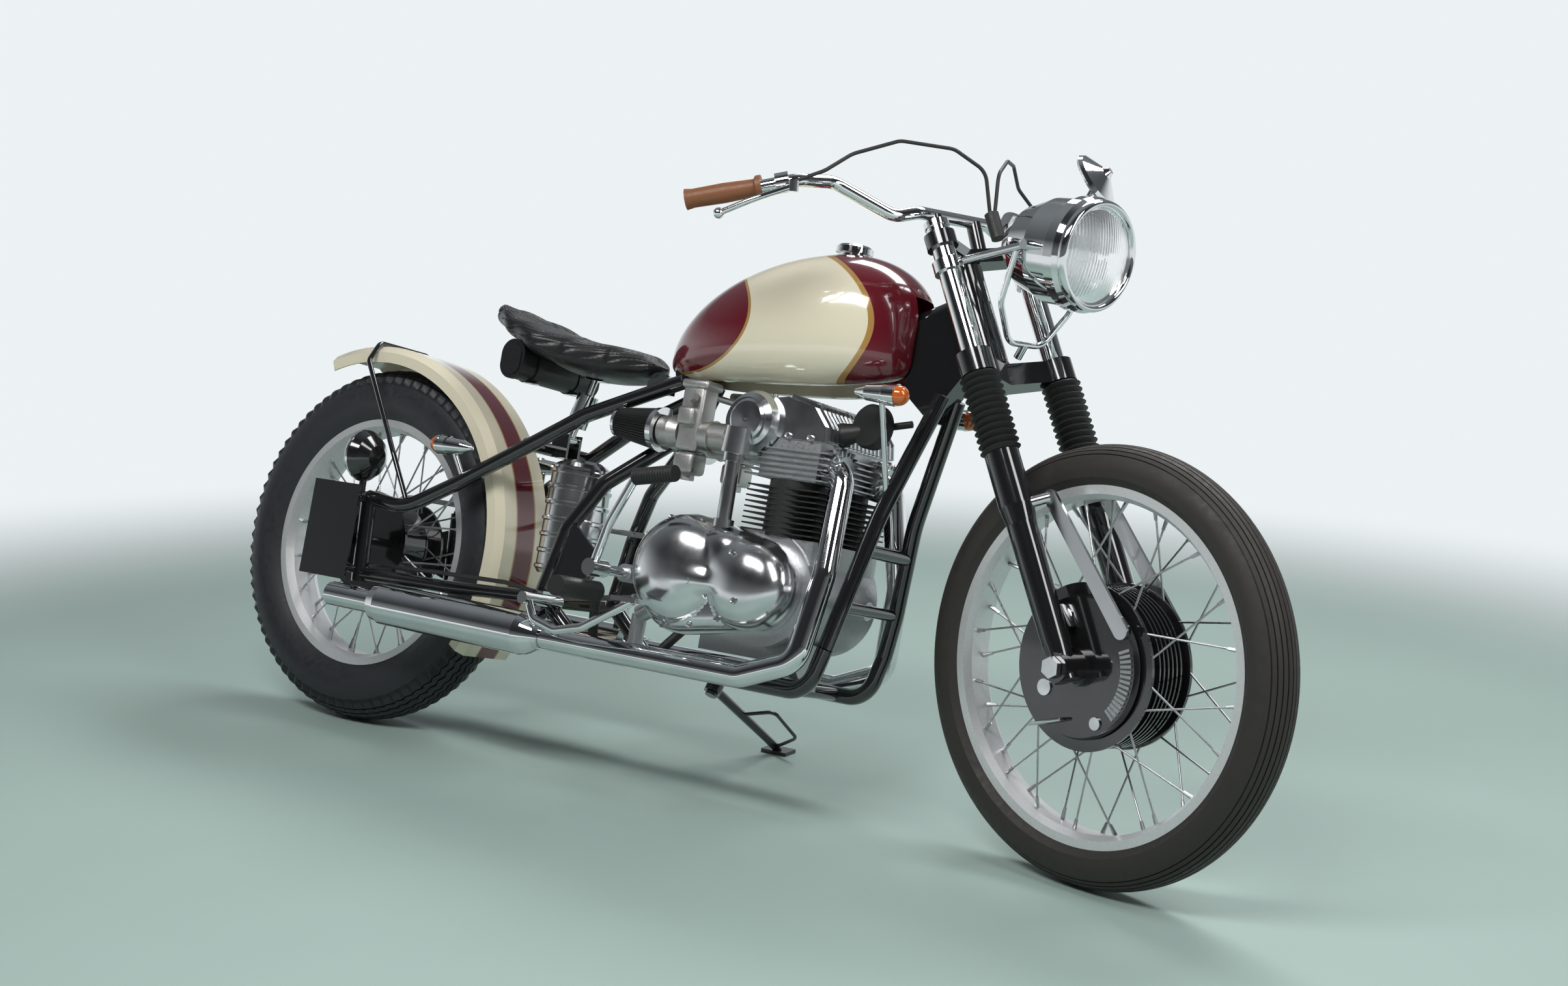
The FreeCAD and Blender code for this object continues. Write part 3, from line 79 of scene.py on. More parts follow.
floor_material, nodes, links = new_material("floor_paint")
place = nodes.new("ShaderNodeTexCoord")
flat = nodes.new("ShaderNodeVectorMath")
flat.operation = "LENGTH"
links.new(place.outputs["Object"], flat.inputs[0])
fade = nodes.new("ShaderNodeMapRange")
fade.interpolation_type = "SMOOTHSTEP"
fade.inputs["From Min"].default_value = FADE_FROM
fade.inputs["From Max"].default_value = FADE_TO
links.new(flat.outputs["Value"], fade.inputs["Value"])
matt = nodes.new("ShaderNodeBsdfPrincipled")
matt.inputs["Roughness"].default_value = 0.55
mottle = nodes.new("ShaderNodeTexNoise")
mottle.inputs["Scale"].default_value = 1.6
mottle.inputs["Detail"].default_value = 6
links.new(place.outputs["Object"], mottle.inputs["Vector"])
tint = nodes.new("ShaderNodeMix")
tint.data_type = "RGBA"
tint.inputs["A"].default_value = FLOOR_GREEN
tint.inputs["B"].default_value = tuple(value * 1.12 for value in FLOOR_GREEN[:3]) + (1,)
links.new(mottle.outputs["Fac"], tint.inputs["Factor"])
links.new(tint.outputs["Result"], matt.inputs["Base Color"])
glow = nodes.new("ShaderNodeEmission")
glow.inputs["Color"].default_value = BACKDROP
blend = nodes.new("ShaderNodeMixShader")
links.new(fade.outputs["Result"], blend.inputs[0])
links.new(matt.outputs[0], blend.inputs[1])
links.new(glow.outputs[0], blend.inputs[2])
surface = nodes.new("ShaderNodeOutputMaterial")
links.new(blend.outputs[0], surface.inputs["Surface"])

mesh = bmesh.new()
bmesh.ops.create_circle(mesh, cap_ends=True, segments=96, radius=14.0)
floor_mesh = bpy.data.meshes.new("floor")
mesh.to_mesh(floor_mesh)
mesh.free()
floor = bpy.data.objects.new("floor", floor_mesh)
floor.data.materials.append(floor_material)
scene.collection.objects.link(floor)
floor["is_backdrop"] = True

world = bpy.data.worlds.new("surround")
world.use_nodes = True
scene.world = world
nodes, links = world.node_tree.nodes, world.node_tree.links
nodes.clear()
sky_way = nodes.new("ShaderNodeTexCoord")
split = nodes.new("ShaderNodeSeparateXYZ")
links.new(sky_way.outputs["Generated"], split.inputs[0])
ramp = nodes.new("ShaderNodeValToRGB")
ramp.color_ramp.elements[0].position = 0.0
ramp.color_ramp.elements[0].color = BACKDROP
ramp.color_ramp.elements[1].position = 1.0
ramp.color_ramp.elements[1].color = (0.24, 0.26, 0.28, 1)
middle = ramp.color_ramp.elements.new(0.08)
middle.color = BACKDROP
edge = ramp.color_ramp.elements.new(0.34)
edge.color = (0.13, 0.14, 0.15, 1)
links.new(split.outputs["Z"], ramp.inputs["Fac"])
# The room is pale behind the machine and darker on the camera's side, which is what the metal and
# the paint mirror.  The camera itself sees the pale surround all round.
toward = nodes.new("ShaderNodeVectorMath")
toward.operation = "DOT_PRODUCT"
links.new(sky_way.outputs["Generated"], toward.inputs[0])
toward.inputs[1].default_value = LOOK_FLAT
near_side = nodes.new("ShaderNodeMapRange")
near_side.interpolation_type = "SMOOTHSTEP"
near_side.inputs["From Min"].default_value = -0.35
near_side.inputs["From Max"].default_value = 0.45
near_side.inputs["To Min"].default_value = 0.16
links.new(toward.outputs["Value"], near_side.inputs["Value"])
ray = nodes.new("ShaderNodeLightPath")
strength = nodes.new("ShaderNodeMath")
strength.operation = "MAXIMUM"
links.new(near_side.outputs["Result"], strength.inputs[0])
links.new(ray.outputs["Is Camera Ray"], strength.inputs[1])
seen = nodes.new("ShaderNodeBackground")
links.new(ramp.outputs["Color"], seen.inputs["Color"])
links.new(strength.outputs[0], seen.inputs["Strength"])
sky = nodes.new("ShaderNodeOutputWorld")
links.new(seen.outputs[0], sky.inputs["Surface"])

PANELS = (   # place, size across and along, watts
    ((0.2, -2.4, 3.2), (2.6, 0.8), 78),
    ((0.3, 1.8, 3.4), (3.2, 0.8), 80),
    ((2.8, -0.6, 2.6), (0.8, 2.2), 38),
)
for index, (spot, (across, along), watts) in enumerate(PANELS):
    lamp = bpy.data.lights.new(f"panel_{index}", "AREA")
    lamp.shape = "RECTANGLE"
    lamp.size, lamp.size_y = across, along
    lamp.energy = watts
    panel = bpy.data.objects.new(f"panel_{index}", lamp)
    panel.location = spot
    panel.rotation_euler = (Vector((0, 0, 0.5)) - Vector(spot)).to_track_quat("-Z", "Y").to_euler()
    scene.collection.objects.link(panel)

EYE_FROM_REAR_AXLE = Vector((2.942, -2.874))
EYE_HEIGHT = 1.098
PITCH_DOWN, ROLL = radians(9.003), radians(1.4037)
camera_data = bpy.data.cameras.new("camera")
camera_data.lens, camera_data.sensor_width = 47.57, 36.0
camera = bpy.data.objects.new("camera", camera_data)
look = LOOK_FLAT * cos(PITCH_DOWN) - Vector((0, 0, sin(PITCH_DOWN)))
turn = look.to_track_quat("-Z", "Y").to_matrix().to_4x4()
camera.matrix_world = (Matrix.Translation((rear_axle.x + EYE_FROM_REAR_AXLE.x,
                                           rear_axle.y + EYE_FROM_REAR_AXLE.y, EYE_HEIGHT))
                       @ turn @ Matrix.Rotation(ROLL, 4, "Z"))
scene.collection.objects.link(camera)
scene.camera = camera
scene.view_settings.view_transform = "Standard"

# ---------------------------------------------------------------- how it is parked
# The machine leans to its left on its side stand, with its fork turned to the right.  Pieces are
# made on the upright, straight machine (metres, X forward from the rear axle, Y left, Z up from
# the tyres' plane) and carried to the parked one by one of these two placements.
AXLE_HEIGHT = 0.3465
lean_axis = Vector(joints["rear_wheel"]["axis"])
lean = atan2(lean_axis.z, lean_axis.y)
upright = (Matrix.Translation(rear_axle) @ Matrix.Rotation(lean, 4, "X")
           @ Matrix.Translation((0, 0, -AXLE_HEIGHT)))
steer_axis = Vector(joints["steering"]["axis"])
steer_at = Vector(joints["steering"]["pos_m"])
steer_angle = lean_axis.angle(Vector(joints["front_wheel"]["axis"]))
turned = (Matrix.Translation(steer_at) @ Matrix.Rotation(-steer_angle, 4, steer_axis)
          @ Matrix.Translation(-steer_at) @ upright)


def finish(node, material):
    """Give a CAD node its finish."""
    node_object = frame["nodes"][node]
    node_object.data.materials.clear()
    node_object.data.materials.append(material)


# ---------------------------------------------------------------- fine surface
# Every hand-made or cast surface is a little uneven: this group gives the colour, roughness and
# normal of that unevenness, so that each finish below can have as much of it as the real one.
grain_group = bpy.data.node_groups.new("uneven_surface", "ShaderNodeTree")
for name, kind, value in (("Scale", "NodeSocketFloat", 60.0), ("Bump", "NodeSocketFloat", 0.1),
                          ("Rough Low", "NodeSocketFloat", 0.1), ("Rough High", "NodeSocketFloat", 0.2)):
    socket = grain_group.interface.new_socket(name, in_out="INPUT", socket_type=kind)
    socket.default_value = value
for name, kind in (("Mask", "NodeSocketFloat"), ("Roughness", "NodeSocketFloat"), ("Normal", "NodeSocketVector")):
    grain_group.interface.new_socket(name, in_out="OUTPUT", socket_type=kind)
nodes, links = grain_group.nodes, grain_group.links
given = nodes.new("NodeGroupInput")
put_out = nodes.new("NodeGroupOutput")
place = nodes.new("ShaderNodeTexCoord")
noise = nodes.new("ShaderNodeTexNoise")
noise.inputs["Detail"].default_value = 5
links.new(place.outputs["Object"], noise.inputs["Vector"])
links.new(given.outputs["Scale"], noise.inputs["Scale"])
rough = nodes.new("ShaderNodeMapRange")
rough.inputs["From Min"].default_value = 0.3
rough.inputs["From Max"].default_value = 0.7
links.new(noise.outputs["Fac"], rough.inputs["Value"])
links.new(given.outputs["Rough Low"], rough.inputs["To Min"])
links.new(given.outputs["Rough High"], rough.inputs["To Max"])
bump = nodes.new("ShaderNodeBump")
bump.inputs["Distance"].default_value = 0.001
links.new(given.outputs["Bump"], bump.inputs["Strength"])
links.new(noise.outputs["Fac"], bump.inputs["Height"])
links.new(noise.outputs["Fac"], put_out.inputs["Mask"])
links.new(rough.outputs["Result"], put_out.inputs["Roughness"])
links.new(bump.outputs["Normal"], put_out.inputs["Normal"])


def surface_material(name, colour, metallic=0.0, rough=(0.1, 0.2), scale=60.0, bump=0.1, coat=0.0, second=None):
    """A finish whose roughness and normal vary; the second colour shows through in patches."""
    material, nodes, links = new_material(name)
    shader = nodes.new("ShaderNodeBsdfPrincipled")
    shader.inputs["Metallic"].default_value = metallic
    shader.inputs["Coat Weight"].default_value = coat
    shader.inputs["Coat Roughness"].default_value = 0.04
    uneven = nodes.new("ShaderNodeGroup")
    uneven.node_tree = grain_group
    uneven.inputs["Scale"].default_value = scale
    uneven.inputs["Bump"].default_value = bump
    uneven.inputs["Rough Low"].default_value = rough[0]
    uneven.inputs["Rough High"].default_value = rough[1]
    mix = nodes.new("ShaderNodeMix")
    mix.data_type = "RGBA"
    mix.inputs["A"].default_value = (*colour, 1)
    mix.inputs["B"].default_value = (*(second or tuple(value * 0.8 for value in colour)), 1)
    links.new(uneven.outputs["Mask"], mix.inputs["Factor"])
    links.new(mix.outputs["Result"], shader.inputs["Base Color"])
    links.new(uneven.outputs["Roughness"], shader.inputs["Roughness"])
    links.new(uneven.outputs["Normal"], shader.inputs["Normal"])
    surface = nodes.new("ShaderNodeOutputMaterial")
    links.new(shader.outputs[0], surface.inputs["Surface"])
    return material


# ---------------------------------------------------------------- frame
# Welded steel tube, sprayed gloss black: neck with boxed gussets, twin downtubes, bottom cradle,
# hardtail stays, and the strut that holds the fender.
gloss_black = surface_material("gloss_black", (0.012, 0.012, 0.013), rough=(0.10, 0.16), scale=30, bump=0.02, coat=1.0)
for node in ("frame_neck", "frame_downtubes", "frame_cradle", "seat_posts", "upper_stays", "lower_stays",
             "fender_strut", "side_stand", "fork_yokes", "fork_sliders"):
    finish(node, gloss_black)

# ---------------------------------------------------------------- engine
# Cast and polished aluminium round a black barrel.
polished = surface_material("polished_aluminium", (0.78, 0.79, 0.80), 1.0, (0.14, 0.24), 25, 0.03)
cast = surface_material("cast_aluminium", (0.60, 0.61, 0.62), 1.0, (0.34, 0.5), 260, 0.25)
matt_black = surface_material("matt_black", (0.02, 0.02, 0.02), 0.0, (0.4, 0.55), 300, 0.15)
chrome = surface_material("chrome", (0.86, 0.87, 0.88), 1.0, (0.035, 0.07), 18, 0.0)
steel = surface_material("steel", (0.55, 0.55, 0.56), 1.0, (0.25, 0.4), 120, 0.05)
rubber = surface_material("black_rubber", (0.018, 0.018, 0.018), 0.0, (0.45, 0.6), 200, 0.1)
brown = surface_material("brown_rubber", (0.23, 0.085, 0.03), 0.0, (0.4, 0.55), 200, 0.1)
leather = surface_material("black_leather", (0.012, 0.012, 0.013), 0.0, (0.30, 0.42), 350, 0.2)
for node in ("cam_cover", "bevel_drive", "oil_canister", "torque_arms"):
    finish(node, polished)
for node in ("crankcase", "cylinder_head"):
    finish(node, cast)
finish("cylinder_barrel", matt_black)
finish("horn", matt_black)
finish("number_plate", gloss_black)
for node in ("front_hub", "rear_hub", "brake_plates"):
    finish(node, gloss_black)
for node in ("headers", "mufflers", "kick_starter", "foot_controls", "fuel_cap", "fork_tubes", "handlebar",
             "hand_levers", "headlight", "headlight_bracket", "headlight_loop", "mirror", "seat_springs",
             "indicators"):
    finish(node, chrome)
finish("tail_light", gloss_black)
for node in ("rear_axle", "front_axle", "front_spokes", "rear_spokes", "drive_chain"):
    finish(node, steel)
for node in ("footpegs", "fork_gaiters", "control_cables", "rear_brake_cable"):
    finish(node, rubber)
finish("grips", brown)
finish("tool_bag", leather)

# ---------------------------------------------------------------- tyres
# Cross-ply tyres in brown-black rubber.  The front one has straight ribs, the rear one a sawtooth
# tread.  Each is one outline turned about its axle, with the rear's ribs then pushed from side to
# side, step by step, which makes the teeth.
WHEEL_STEPS = 180
WALL = 0.008


def spun(name, outline, placement, centre, steps=WHEEL_STEPS, shape=None):
    """A closed outline of (y, r) pairs turned about a line along Y through a centre."""
    mesh = bmesh.new()
    ring = [mesh.verts.new((0, y, r)) for y, r in outline]
    edges = [mesh.edges.new(pair) for pair in zip(ring, ring[1:] + ring[:1])]
    bmesh.ops.spin(mesh, geom=ring + edges, cent=(0, 0, 0), axis=(0, 1, 0), angle=2 * pi, steps=steps,
                   use_merge=True)
    bmesh.ops.remove_doubles(mesh, verts=mesh.verts, dist=1e-6)
    if shape:
        shape(mesh)
    bmesh.ops.transform(mesh, matrix=placement @ Matrix.Translation(centre), verts=mesh.verts)
    bmesh.ops.recalc_face_normals(mesh, faces=mesh.faces)
    return added(name, mesh)


def added(name, mesh, smooth_to=35):
    """A new piece from a finished bmesh, smooth except at edges sharper than the angle given."""
    data = bpy.data.meshes.new(name)
    for edge in mesh.edges:
        edge.smooth = len(edge.link_faces) != 2 or edge.calc_face_angle(0) < radians(smooth_to)
    for face in mesh.faces:
        face.smooth = True
    mesh.to_mesh(data)
    mesh.free()
    piece = bpy.data.objects.new(name, data)
    scene.collection.objects.link(piece)
    return piece


def fitted(name, mesh, placement, material, body, smooth_to=35):
    """A finished mesh carried to its place, with its material and body."""
    bmesh.ops.transform(mesh, matrix=placement, verts=mesh.verts)
    piece = added(name, mesh, smooth_to)
    piece.data.materials.append(material)
    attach(piece, body)
    return piece


def facing(place, way):
    """Placement at a point with its own Z along a direction."""
    return Matrix.Translation(place) @ way.to_track_quat("Z", "Y").to_matrix().to_4x4()


def soften(mesh, made, offset, segments=2):
    """Round every edge of a part that was just made."""
    edges = list({edge for vert in made["verts"] for edge in vert.link_edges})
    bmesh.ops.bevel(mesh, geom=edges, offset=offset, segments=segments, profile=0.5, affect="EDGES", material=-1)


def tyre_outline(radius, half, rim_r, rim_half, grooves, depth, width):
    """Side walls, a round crown with grooves at the angles given, and the hollow inside."""
    core = radius - half
    side_z = (core + rim_r) / 2
    side_y = rim_half + (half - rim_half) * 0.86
    outline = [(-rim_half, rim_r), (-rim_half - 0.002, rim_r + 0.004), (-side_y, side_z)]
    step = 6
    for angle in range(-90, 91, step):
        cut = [groove for groove in grooves if abs(groove - angle) < step / 2]
        if not cut:
            outline.append((half * sin(radians(angle)), core + half * cos(radians(angle))))
        for groove in cut:
            for shift, deep in ((-width, 0), (-width * 0.6, depth), (width * 0.6, depth), (width, 0)):
                at = radians(groove) + shift / half
                outline.append(((half - deep) * sin(at), core + (half - deep) * cos(at)))
    outline += [(side_y, side_z), (rim_half + 0.002, rim_r + 0.004), (rim_half, rim_r)]
    inner = half - WALL
    for angle in range(80, -81, -20):
        outline.append((inner * sin(radians(angle)), core + inner * cos(radians(angle))))
    return outline


def sawtooth(mesh):
    """Zigzag the grooves and notch both shoulders of the rear tread."""
    core = REAR_R - REAR_HALF
    for vert in mesh.verts:
        turn = atan2(vert.co.x, vert.co.z)
        step = round(turn / (2 * pi) * REAR_STEPS) % 2
        reach = (vert.co.x ** 2 + vert.co.z ** 2) ** 0.5
        across = atan2(vert.co.y, reach - core)
        outer = ((reach - core) ** 2 + vert.co.y ** 2) ** 0.5 > REAR_HALF - 0.006
        if reach < core or not outer:
            continue
        if abs(across) < radians(50):
            vert.co.y += 0.0035 if step else -0.0035
        elif abs(across) < radians(66) and step:
            pull = (reach - 0.0075) / reach
            vert.co.x *= pull
            vert.co.z *= pull
            vert.co.y *= 0.955


FRONT_R, FRONT_HALF, REAR_R, REAR_HALF = 0.345, 0.0415, 0.3465, 0.059
REAR_STEPS = 160
front_centre = turned.inverted() @ front_axle
rear_centre = Vector((0, 0, AXLE_HEIGHT))

front_rubber = surface_material("front_tyre_rubber", (0.022, 0.019, 0.017), 0.0, (0.5, 0.68), 90, 0.2,
                                second=(0.034, 0.029, 0.025))
rear_rubber = surface_material("rear_tyre_rubber", (0.014, 0.015, 0.018), 0.0, (0.42, 0.6), 90, 0.2,
                               second=(0.026, 0.028, 0.033))
front_grooves = (-54, -42, -30, -18, -6, 6, 18, 30, 42, 54)
piece = spun("front_tyre_ribbed", tyre_outline(FRONT_R, FRONT_HALF, 0.2805, 0.031, front_grooves, 0.0022, 0.0011),
             turned, front_centre)
piece.data.materials.append(front_rubber)
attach(piece, "front_wheel")
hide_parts("front_tyre")
rear_grooves = (-44, -32, -18, -6, 6, 18, 32, 44)
piece = spun("rear_tyre_sawtooth", tyre_outline(REAR_R, REAR_HALF, 0.2428, 0.042, rear_grooves, 0.004, 0.0018),
             upright, rear_centre, REAR_STEPS, sawtooth)
piece.data.materials.append(rear_rubber)
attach(piece, "rear_wheel")
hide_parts("rear_tyre")

# ---------------------------------------------------------------- wheels
# Flanged aluminium rims, brushed on the sides, laced with forty spokes to each hub.  Each spoke
# ends in a plated nipple at the rim.
rim_metal = surface_material("rim_aluminium", (0.90, 0.905, 0.91), 0.72, (0.36, 0.44), 300, 0.0)
finish("front_rim", rim_metal)
finish("rear_rim", rim_metal)
SPOKES_A_SIDE = 20


def nipples(name, placement, centre, flange_y, flange_r, rim_r, rim_half, cross, body):
    """A short hexagonal sleeve on the outer end of each spoke."""
    mesh = bmesh.new()
    reach = rim_r - 0.022
    for side in (-1, 1):
        for index in range(SPOKES_A_SIDE):
            rim_angle = 2 * pi * (index + 0.25 * side) / SPOKES_A_SIDE
            hub_angle = rim_angle + (cross if index % 2 else -cross)
            hub = Vector((flange_r * cos(hub_angle), side * flange_y, flange_r * sin(hub_angle)))
            on_rim = Vector((reach * cos(rim_angle), side * rim_half * 0.3, reach * sin(rim_angle)))
            along = (hub - on_rim).normalized()
            spot = on_rim + along * 0.009
            bmesh.ops.create_cone(mesh, cap_ends=True, segments=8, radius1=0.0036, radius2=0.0028, depth=0.018,
                                  matrix=facing(spot, along))
    fitted(name, mesh, placement @ Matrix.Translation(centre), steel, body)


nipples("front_nipples", turned, front_centre, 0.047, 0.125, 0.2805, 0.031, 0.32, "front_wheel")
nipples("rear_nipples", upright, rear_centre, 0.041, 0.058, 0.2428, 0.042, 0.5, "rear_wheel")

# ---------------------------------------------------------------- saddle
# Solo saddle: black leather over foam on a steel pan, narrow at the nose and flared at the tail,
# which turns up.  The top is sewn in long curved pleats that fan back from the nose.
SEAT_NOSE, SEAT_TAIL = 0.628, 0.226
PLEAT_PITCH, PLEAT_DEEP = 0.0205, 0.0026


def between(value, table):
    """Straight interpolation in a short table of (place, value) pairs."""
    for (low, first), (high, last) in zip(table, table[1:]):
        if value <= high:
            share = max(0.0, (value - low) / (high - low))
            share = share * share * (3 - 2 * share)
            return first + (last - first) * share
    return table[-1][1]


SEAT_HALF_WIDTH = ((0.0, 0.012), (0.06, 0.043), (0.22, 0.074), (0.40, 0.116), (0.56, 0.138), (0.72, 0.122),
                   (0.88, 0.092), (1.0, 0.05))
SEAT_TOP = ((0.0, 0.752), (0.10, 0.772), (0.3, 0.778), (0.5, 0.788), (0.68, 0.806), (0.84, 0.828), (1.0, 0.852))
SEAT_UNDER = ((0.0, 0.738), (0.10, 0.722), (0.25, 0.714), (0.42, 0.715), (0.55, 0.732), (0.70, 0.758),
              (0.85, 0.783), (1.0, 0.812))
mesh = bmesh.new()
bmesh.ops.create_uvsphere(mesh, u_segments=150, v_segments=220, radius=1.0)
bmesh.ops.rotate(mesh, verts=mesh.verts, cent=(0, 0, 0), matrix=Matrix.Rotation(pi / 2, 3, "Y"))
for vert in mesh.verts:
    share = (1 - vert.co.x) / 2
    ring = max(1e-6, (1 - vert.co.x ** 2) ** 0.5)
    sideways, upwards = vert.co.y / ring, vert.co.z / ring
    bulk = min(1.0, ring * 1.35) ** 0.5
    half = between(share, SEAT_HALF_WIDTH) * bulk
    top, under = between(share, SEAT_TOP), between(share, SEAT_UNDER)
    middle = (top + under) / 2
    y = half * (abs(sideways) ** 0.72) * (1 if sideways >= 0 else -1)
    lift = (abs(upwards) ** 0.62) * (1 if upwards >= 0 else -1)
    z = middle + (top - under) / 2 * lift * bulk
    x = SEAT_NOSE + (SEAT_TAIL - SEAT_NOSE) * share
    dish = -0.012 * max(0.0, 1 - (y / max(half, 1e-4)) ** 2) * max(0.0, share - 0.35) if upwards > 0 else 0.0
    girth = 0.105 * abs(atan2(sideways, upwards))
    fan = (girth * 0.85 - (SEAT_NOSE - x) * 0.5) / PLEAT_PITCH
    groove = (0.5 + 0.5 * cos(2 * pi * fan)) ** 12
    on_top = max(0.0, min(1.0, (lift + 0.55) * 2.2)) * min(1.0, max(0.0, (1 - share) * 14)) * min(1.0, share * 14)
    vert.co = (x, y, z + dish)
    vert.co.z -= PLEAT_DEEP * groove * on_top * max(0.25, lift)
    vert.co.y -= PLEAT_DEEP * groove * on_top * (1 - abs(lift)) * (1 if y >= 0 else -1)
bmesh.ops.transform(mesh, matrix=upright, verts=mesh.verts)
bmesh.ops.recalc_face_normals(mesh, faces=mesh.faces)
piece = added("saddle", mesh, 80)
piece.data.materials.append(leather)
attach(piece, "frame")
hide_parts("seat")

# ---------------------------------------------------------------- engine covers
# Two-piece polished covers on each side of the crankcase: the big one over the clutch with its
# teardrop, and the rounded one over the bevel drive, held by socket-head screws.
CASE_SIDE, COVER_FLAT = 0.1083, 0.158


def hull_reach(angle, first, first_r, second, second_r):
    """Distance from the middle of two joined circles to their outline, along an angle."""
    middle = ((first[0] + second[0]) / 2, (first[1] + second[1]) / 2)
    way = (cos(angle), sin(angle))
    reach = 0.0
    for share in range(21):
        blend = share / 20
        radius = first_r + (second_r - first_r) * blend
        off = (first[0] + (second[0] - first[0]) * blend - middle[0],
               first[1] + (second[1] - first[1]) * blend - middle[1])
        along = off[0] * way[0] + off[1] * way[1]
        aside = radius ** 2 - (off[0] ** 2 + off[1] ** 2 - along ** 2)
        if aside > 0:
            reach = max(reach, along + aside ** 0.5)
    return reach


def domed_cover(name, side, flat, circles, domes, rim=10.0):
    """A cover whose outline is two joined circles and whose face swells into smooth domes."""
    first, first_r, second, second_r = circles
    middle = ((first[0] + second[0]) / 2, (first[1] + second[1]) / 2)
    mesh = bmesh.new()
    bmesh.ops.create_uvsphere(mesh, u_segments=128, v_segments=112, radius=1.0)
    bmesh.ops.rotate(mesh, verts=mesh.verts, cent=(0, 0, 0), matrix=Matrix.Rotation(pi / 2, 3, "X"))
    for vert in mesh.verts:
        share = min(1.0, (vert.co.x ** 2 + vert.co.z ** 2) ** 0.5)
        angle = atan2(vert.co.z, vert.co.x)
        reach = hull_reach(angle, first, first_r, second, second_r) * share
        x, z = middle[0] + reach * cos(angle), middle[1] + reach * sin(angle)
        swell = 0.0
        for cx, cz, rx, rz, height in domes:
            away = ((x - cx) / rx) ** 2 + ((z - cz) / rz) ** 2
            if away < 1:
                swell += (height * (1 - away) ** 0.62) ** 5
        edge = (1 - share ** rim) ** 0.45
        out = CASE_SIDE + (flat - CASE_SIDE) * edge + swell ** 0.2 * min(1.0, edge * 1.6)
        vert.co = (x, side * (out if vert.co.y * side > 0 else CASE_SIDE), z)
    bmesh.ops.transform(mesh, matrix=upright, verts=mesh.verts)
    bmesh.ops.recalc_face_normals(mesh, faces=mesh.faces)
    piece = added(name, mesh, 40)
    piece.data.materials.append(polished)
    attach(piece, "frame")
    return piece


right_cover = domed_cover("clutch_and_bevel_cover", -1, COVER_FLAT, ((0.840, 0.385), 0.104, (0.985, 0.383), 0.080),
                          ((0.834, 0.392, 0.094, 0.094, 0.036), (0.893, 0.376, 0.075, 0.030, 0.026),
                           (0.985, 0.383, 0.074, 0.076, 0.033), (0.930, 0.420, 0.050, 0.062, 0.020)))
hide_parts("engine_covers")
domed_cover("generator_cover", 1, 0.137, ((0.850, 0.388), 0.084, (0.985, 0.383), 0.084),
            ((0.985, 0.383, 0.078, 0.078, 0.028), (0.846, 0.388, 0.060, 0.060, 0.010)))


SCREW_R, SCREW_H, SCREW_SIDES = 0.0055, 0.005, 18


def socket_screws(name, placement, body, spots):
    """Socket-head screws: each spot is a place and the way its head faces."""
    mesh = bmesh.new()
    for place, way in spots:
        at = facing(place, Vector(way))
        made = bmesh.ops.create_cone(mesh, cap_ends=True, segments=SCREW_SIDES, radius1=SCREW_R,
                                     radius2=SCREW_R * 0.94, depth=SCREW_H, matrix=at)
        faces = {face for vert in made["verts"] for face in vert.link_faces}
        top = max((face for face in faces if len(face.verts) == SCREW_SIDES),
                  key=lambda face: (at.inverted() @ face.calc_center_median()).z)
        bmesh.ops.inset_region(mesh, faces=[top], thickness=SCREW_R * 0.42)
        bmesh.ops.translate(mesh, verts=top.verts, vec=-Vector(way).normalized() * SCREW_H * 0.6)
    fitted(name, mesh, placement, steel, body, 30)


cover_screws = []
for x, z, out in ((0.806, 0.474, 0.150), (0.872, 0.474, 0.150), (0.764, 0.440, 0.150), (0.757, 0.330, 0.150),
                  (0.912, 0.444, 0.166), (0.888, 0.372, 0.186), (0.990, 0.352, 0.189), (0.945, 0.318, 0.164),
                  (0.884, 0.300, 0.154), (0.826, 0.292, 0.150), (0.968, 0.430, 0.184)):
    cover_screws.append(((x, -out, z), (0, -1, 0)))
for x, z, out in ((0.790, 0.430, 0.132), (0.850, 0.460, 0.132), (0.915, 0.455, 0.134), (0.985, 0.455, 0.134),
                  (1.050, 0.400, 0.132), (1.020, 0.320, 0.132), (0.920, 0.312, 0.134), (0.800, 0.330, 0.132)):
    cover_screws.append(((x, out, z), (0, 1, 0)))
socket_screws("cover_screws", upright, "frame", cover_screws)

# ---------------------------------------------------------------- head
# Finned head with a polished, ribbed cam cover.  Each exhaust port has a finned collar that
# clamps the pipe.
mesh = bmesh.new()
for side in (-1, 1):
    mouth = Vector((1.074, side * 0.0705, 0.5965))
    place = facing(mouth, Vector((0.98, side * 0.09, -0.17)).normalized())
    bmesh.ops.create_cone(mesh, cap_ends=True, segments=40, radius1=0.027, radius2=0.025, depth=0.022, matrix=place)
    for fin in range(18):
        spin = Matrix.Rotation(2 * pi * fin / 18, 4, "Z")
        blade = place @ spin @ Matrix.Translation((0.030, 0, 0)) @ Matrix.Diagonal((0.014, 0.0026, 0.020, 1))
        bmesh.ops.create_cube(mesh, size=1.0, matrix=blade)
RIB_LINE = ((1.066, 0.640), (1.062, 0.663), (1.036, 0.694), (0.982, 0.708))    # over the cover's front
for index in range(17):
    y = -0.104 + index * 0.013
    for (x0, z0), (x1, z1) in zip(RIB_LINE, RIB_LINE[1:]):
        start, end = Vector((x0, y, z0)), Vector((x1, y, z1))
        along = end - start
        place = facing((start + end) / 2, along) @ Matrix.Diagonal((0.004, 0.008, along.length + 0.003, 1))
        bmesh.ops.create_cube(mesh, size=1.0, matrix=place)
fitted("port_collars_and_cam_ribs", mesh, upright, polished, "frame")
head_screws = [((x, side * 0.1135, 0.640), (0, side, 0)) for side in (-1, 1) for x in (0.99, 1.035)]
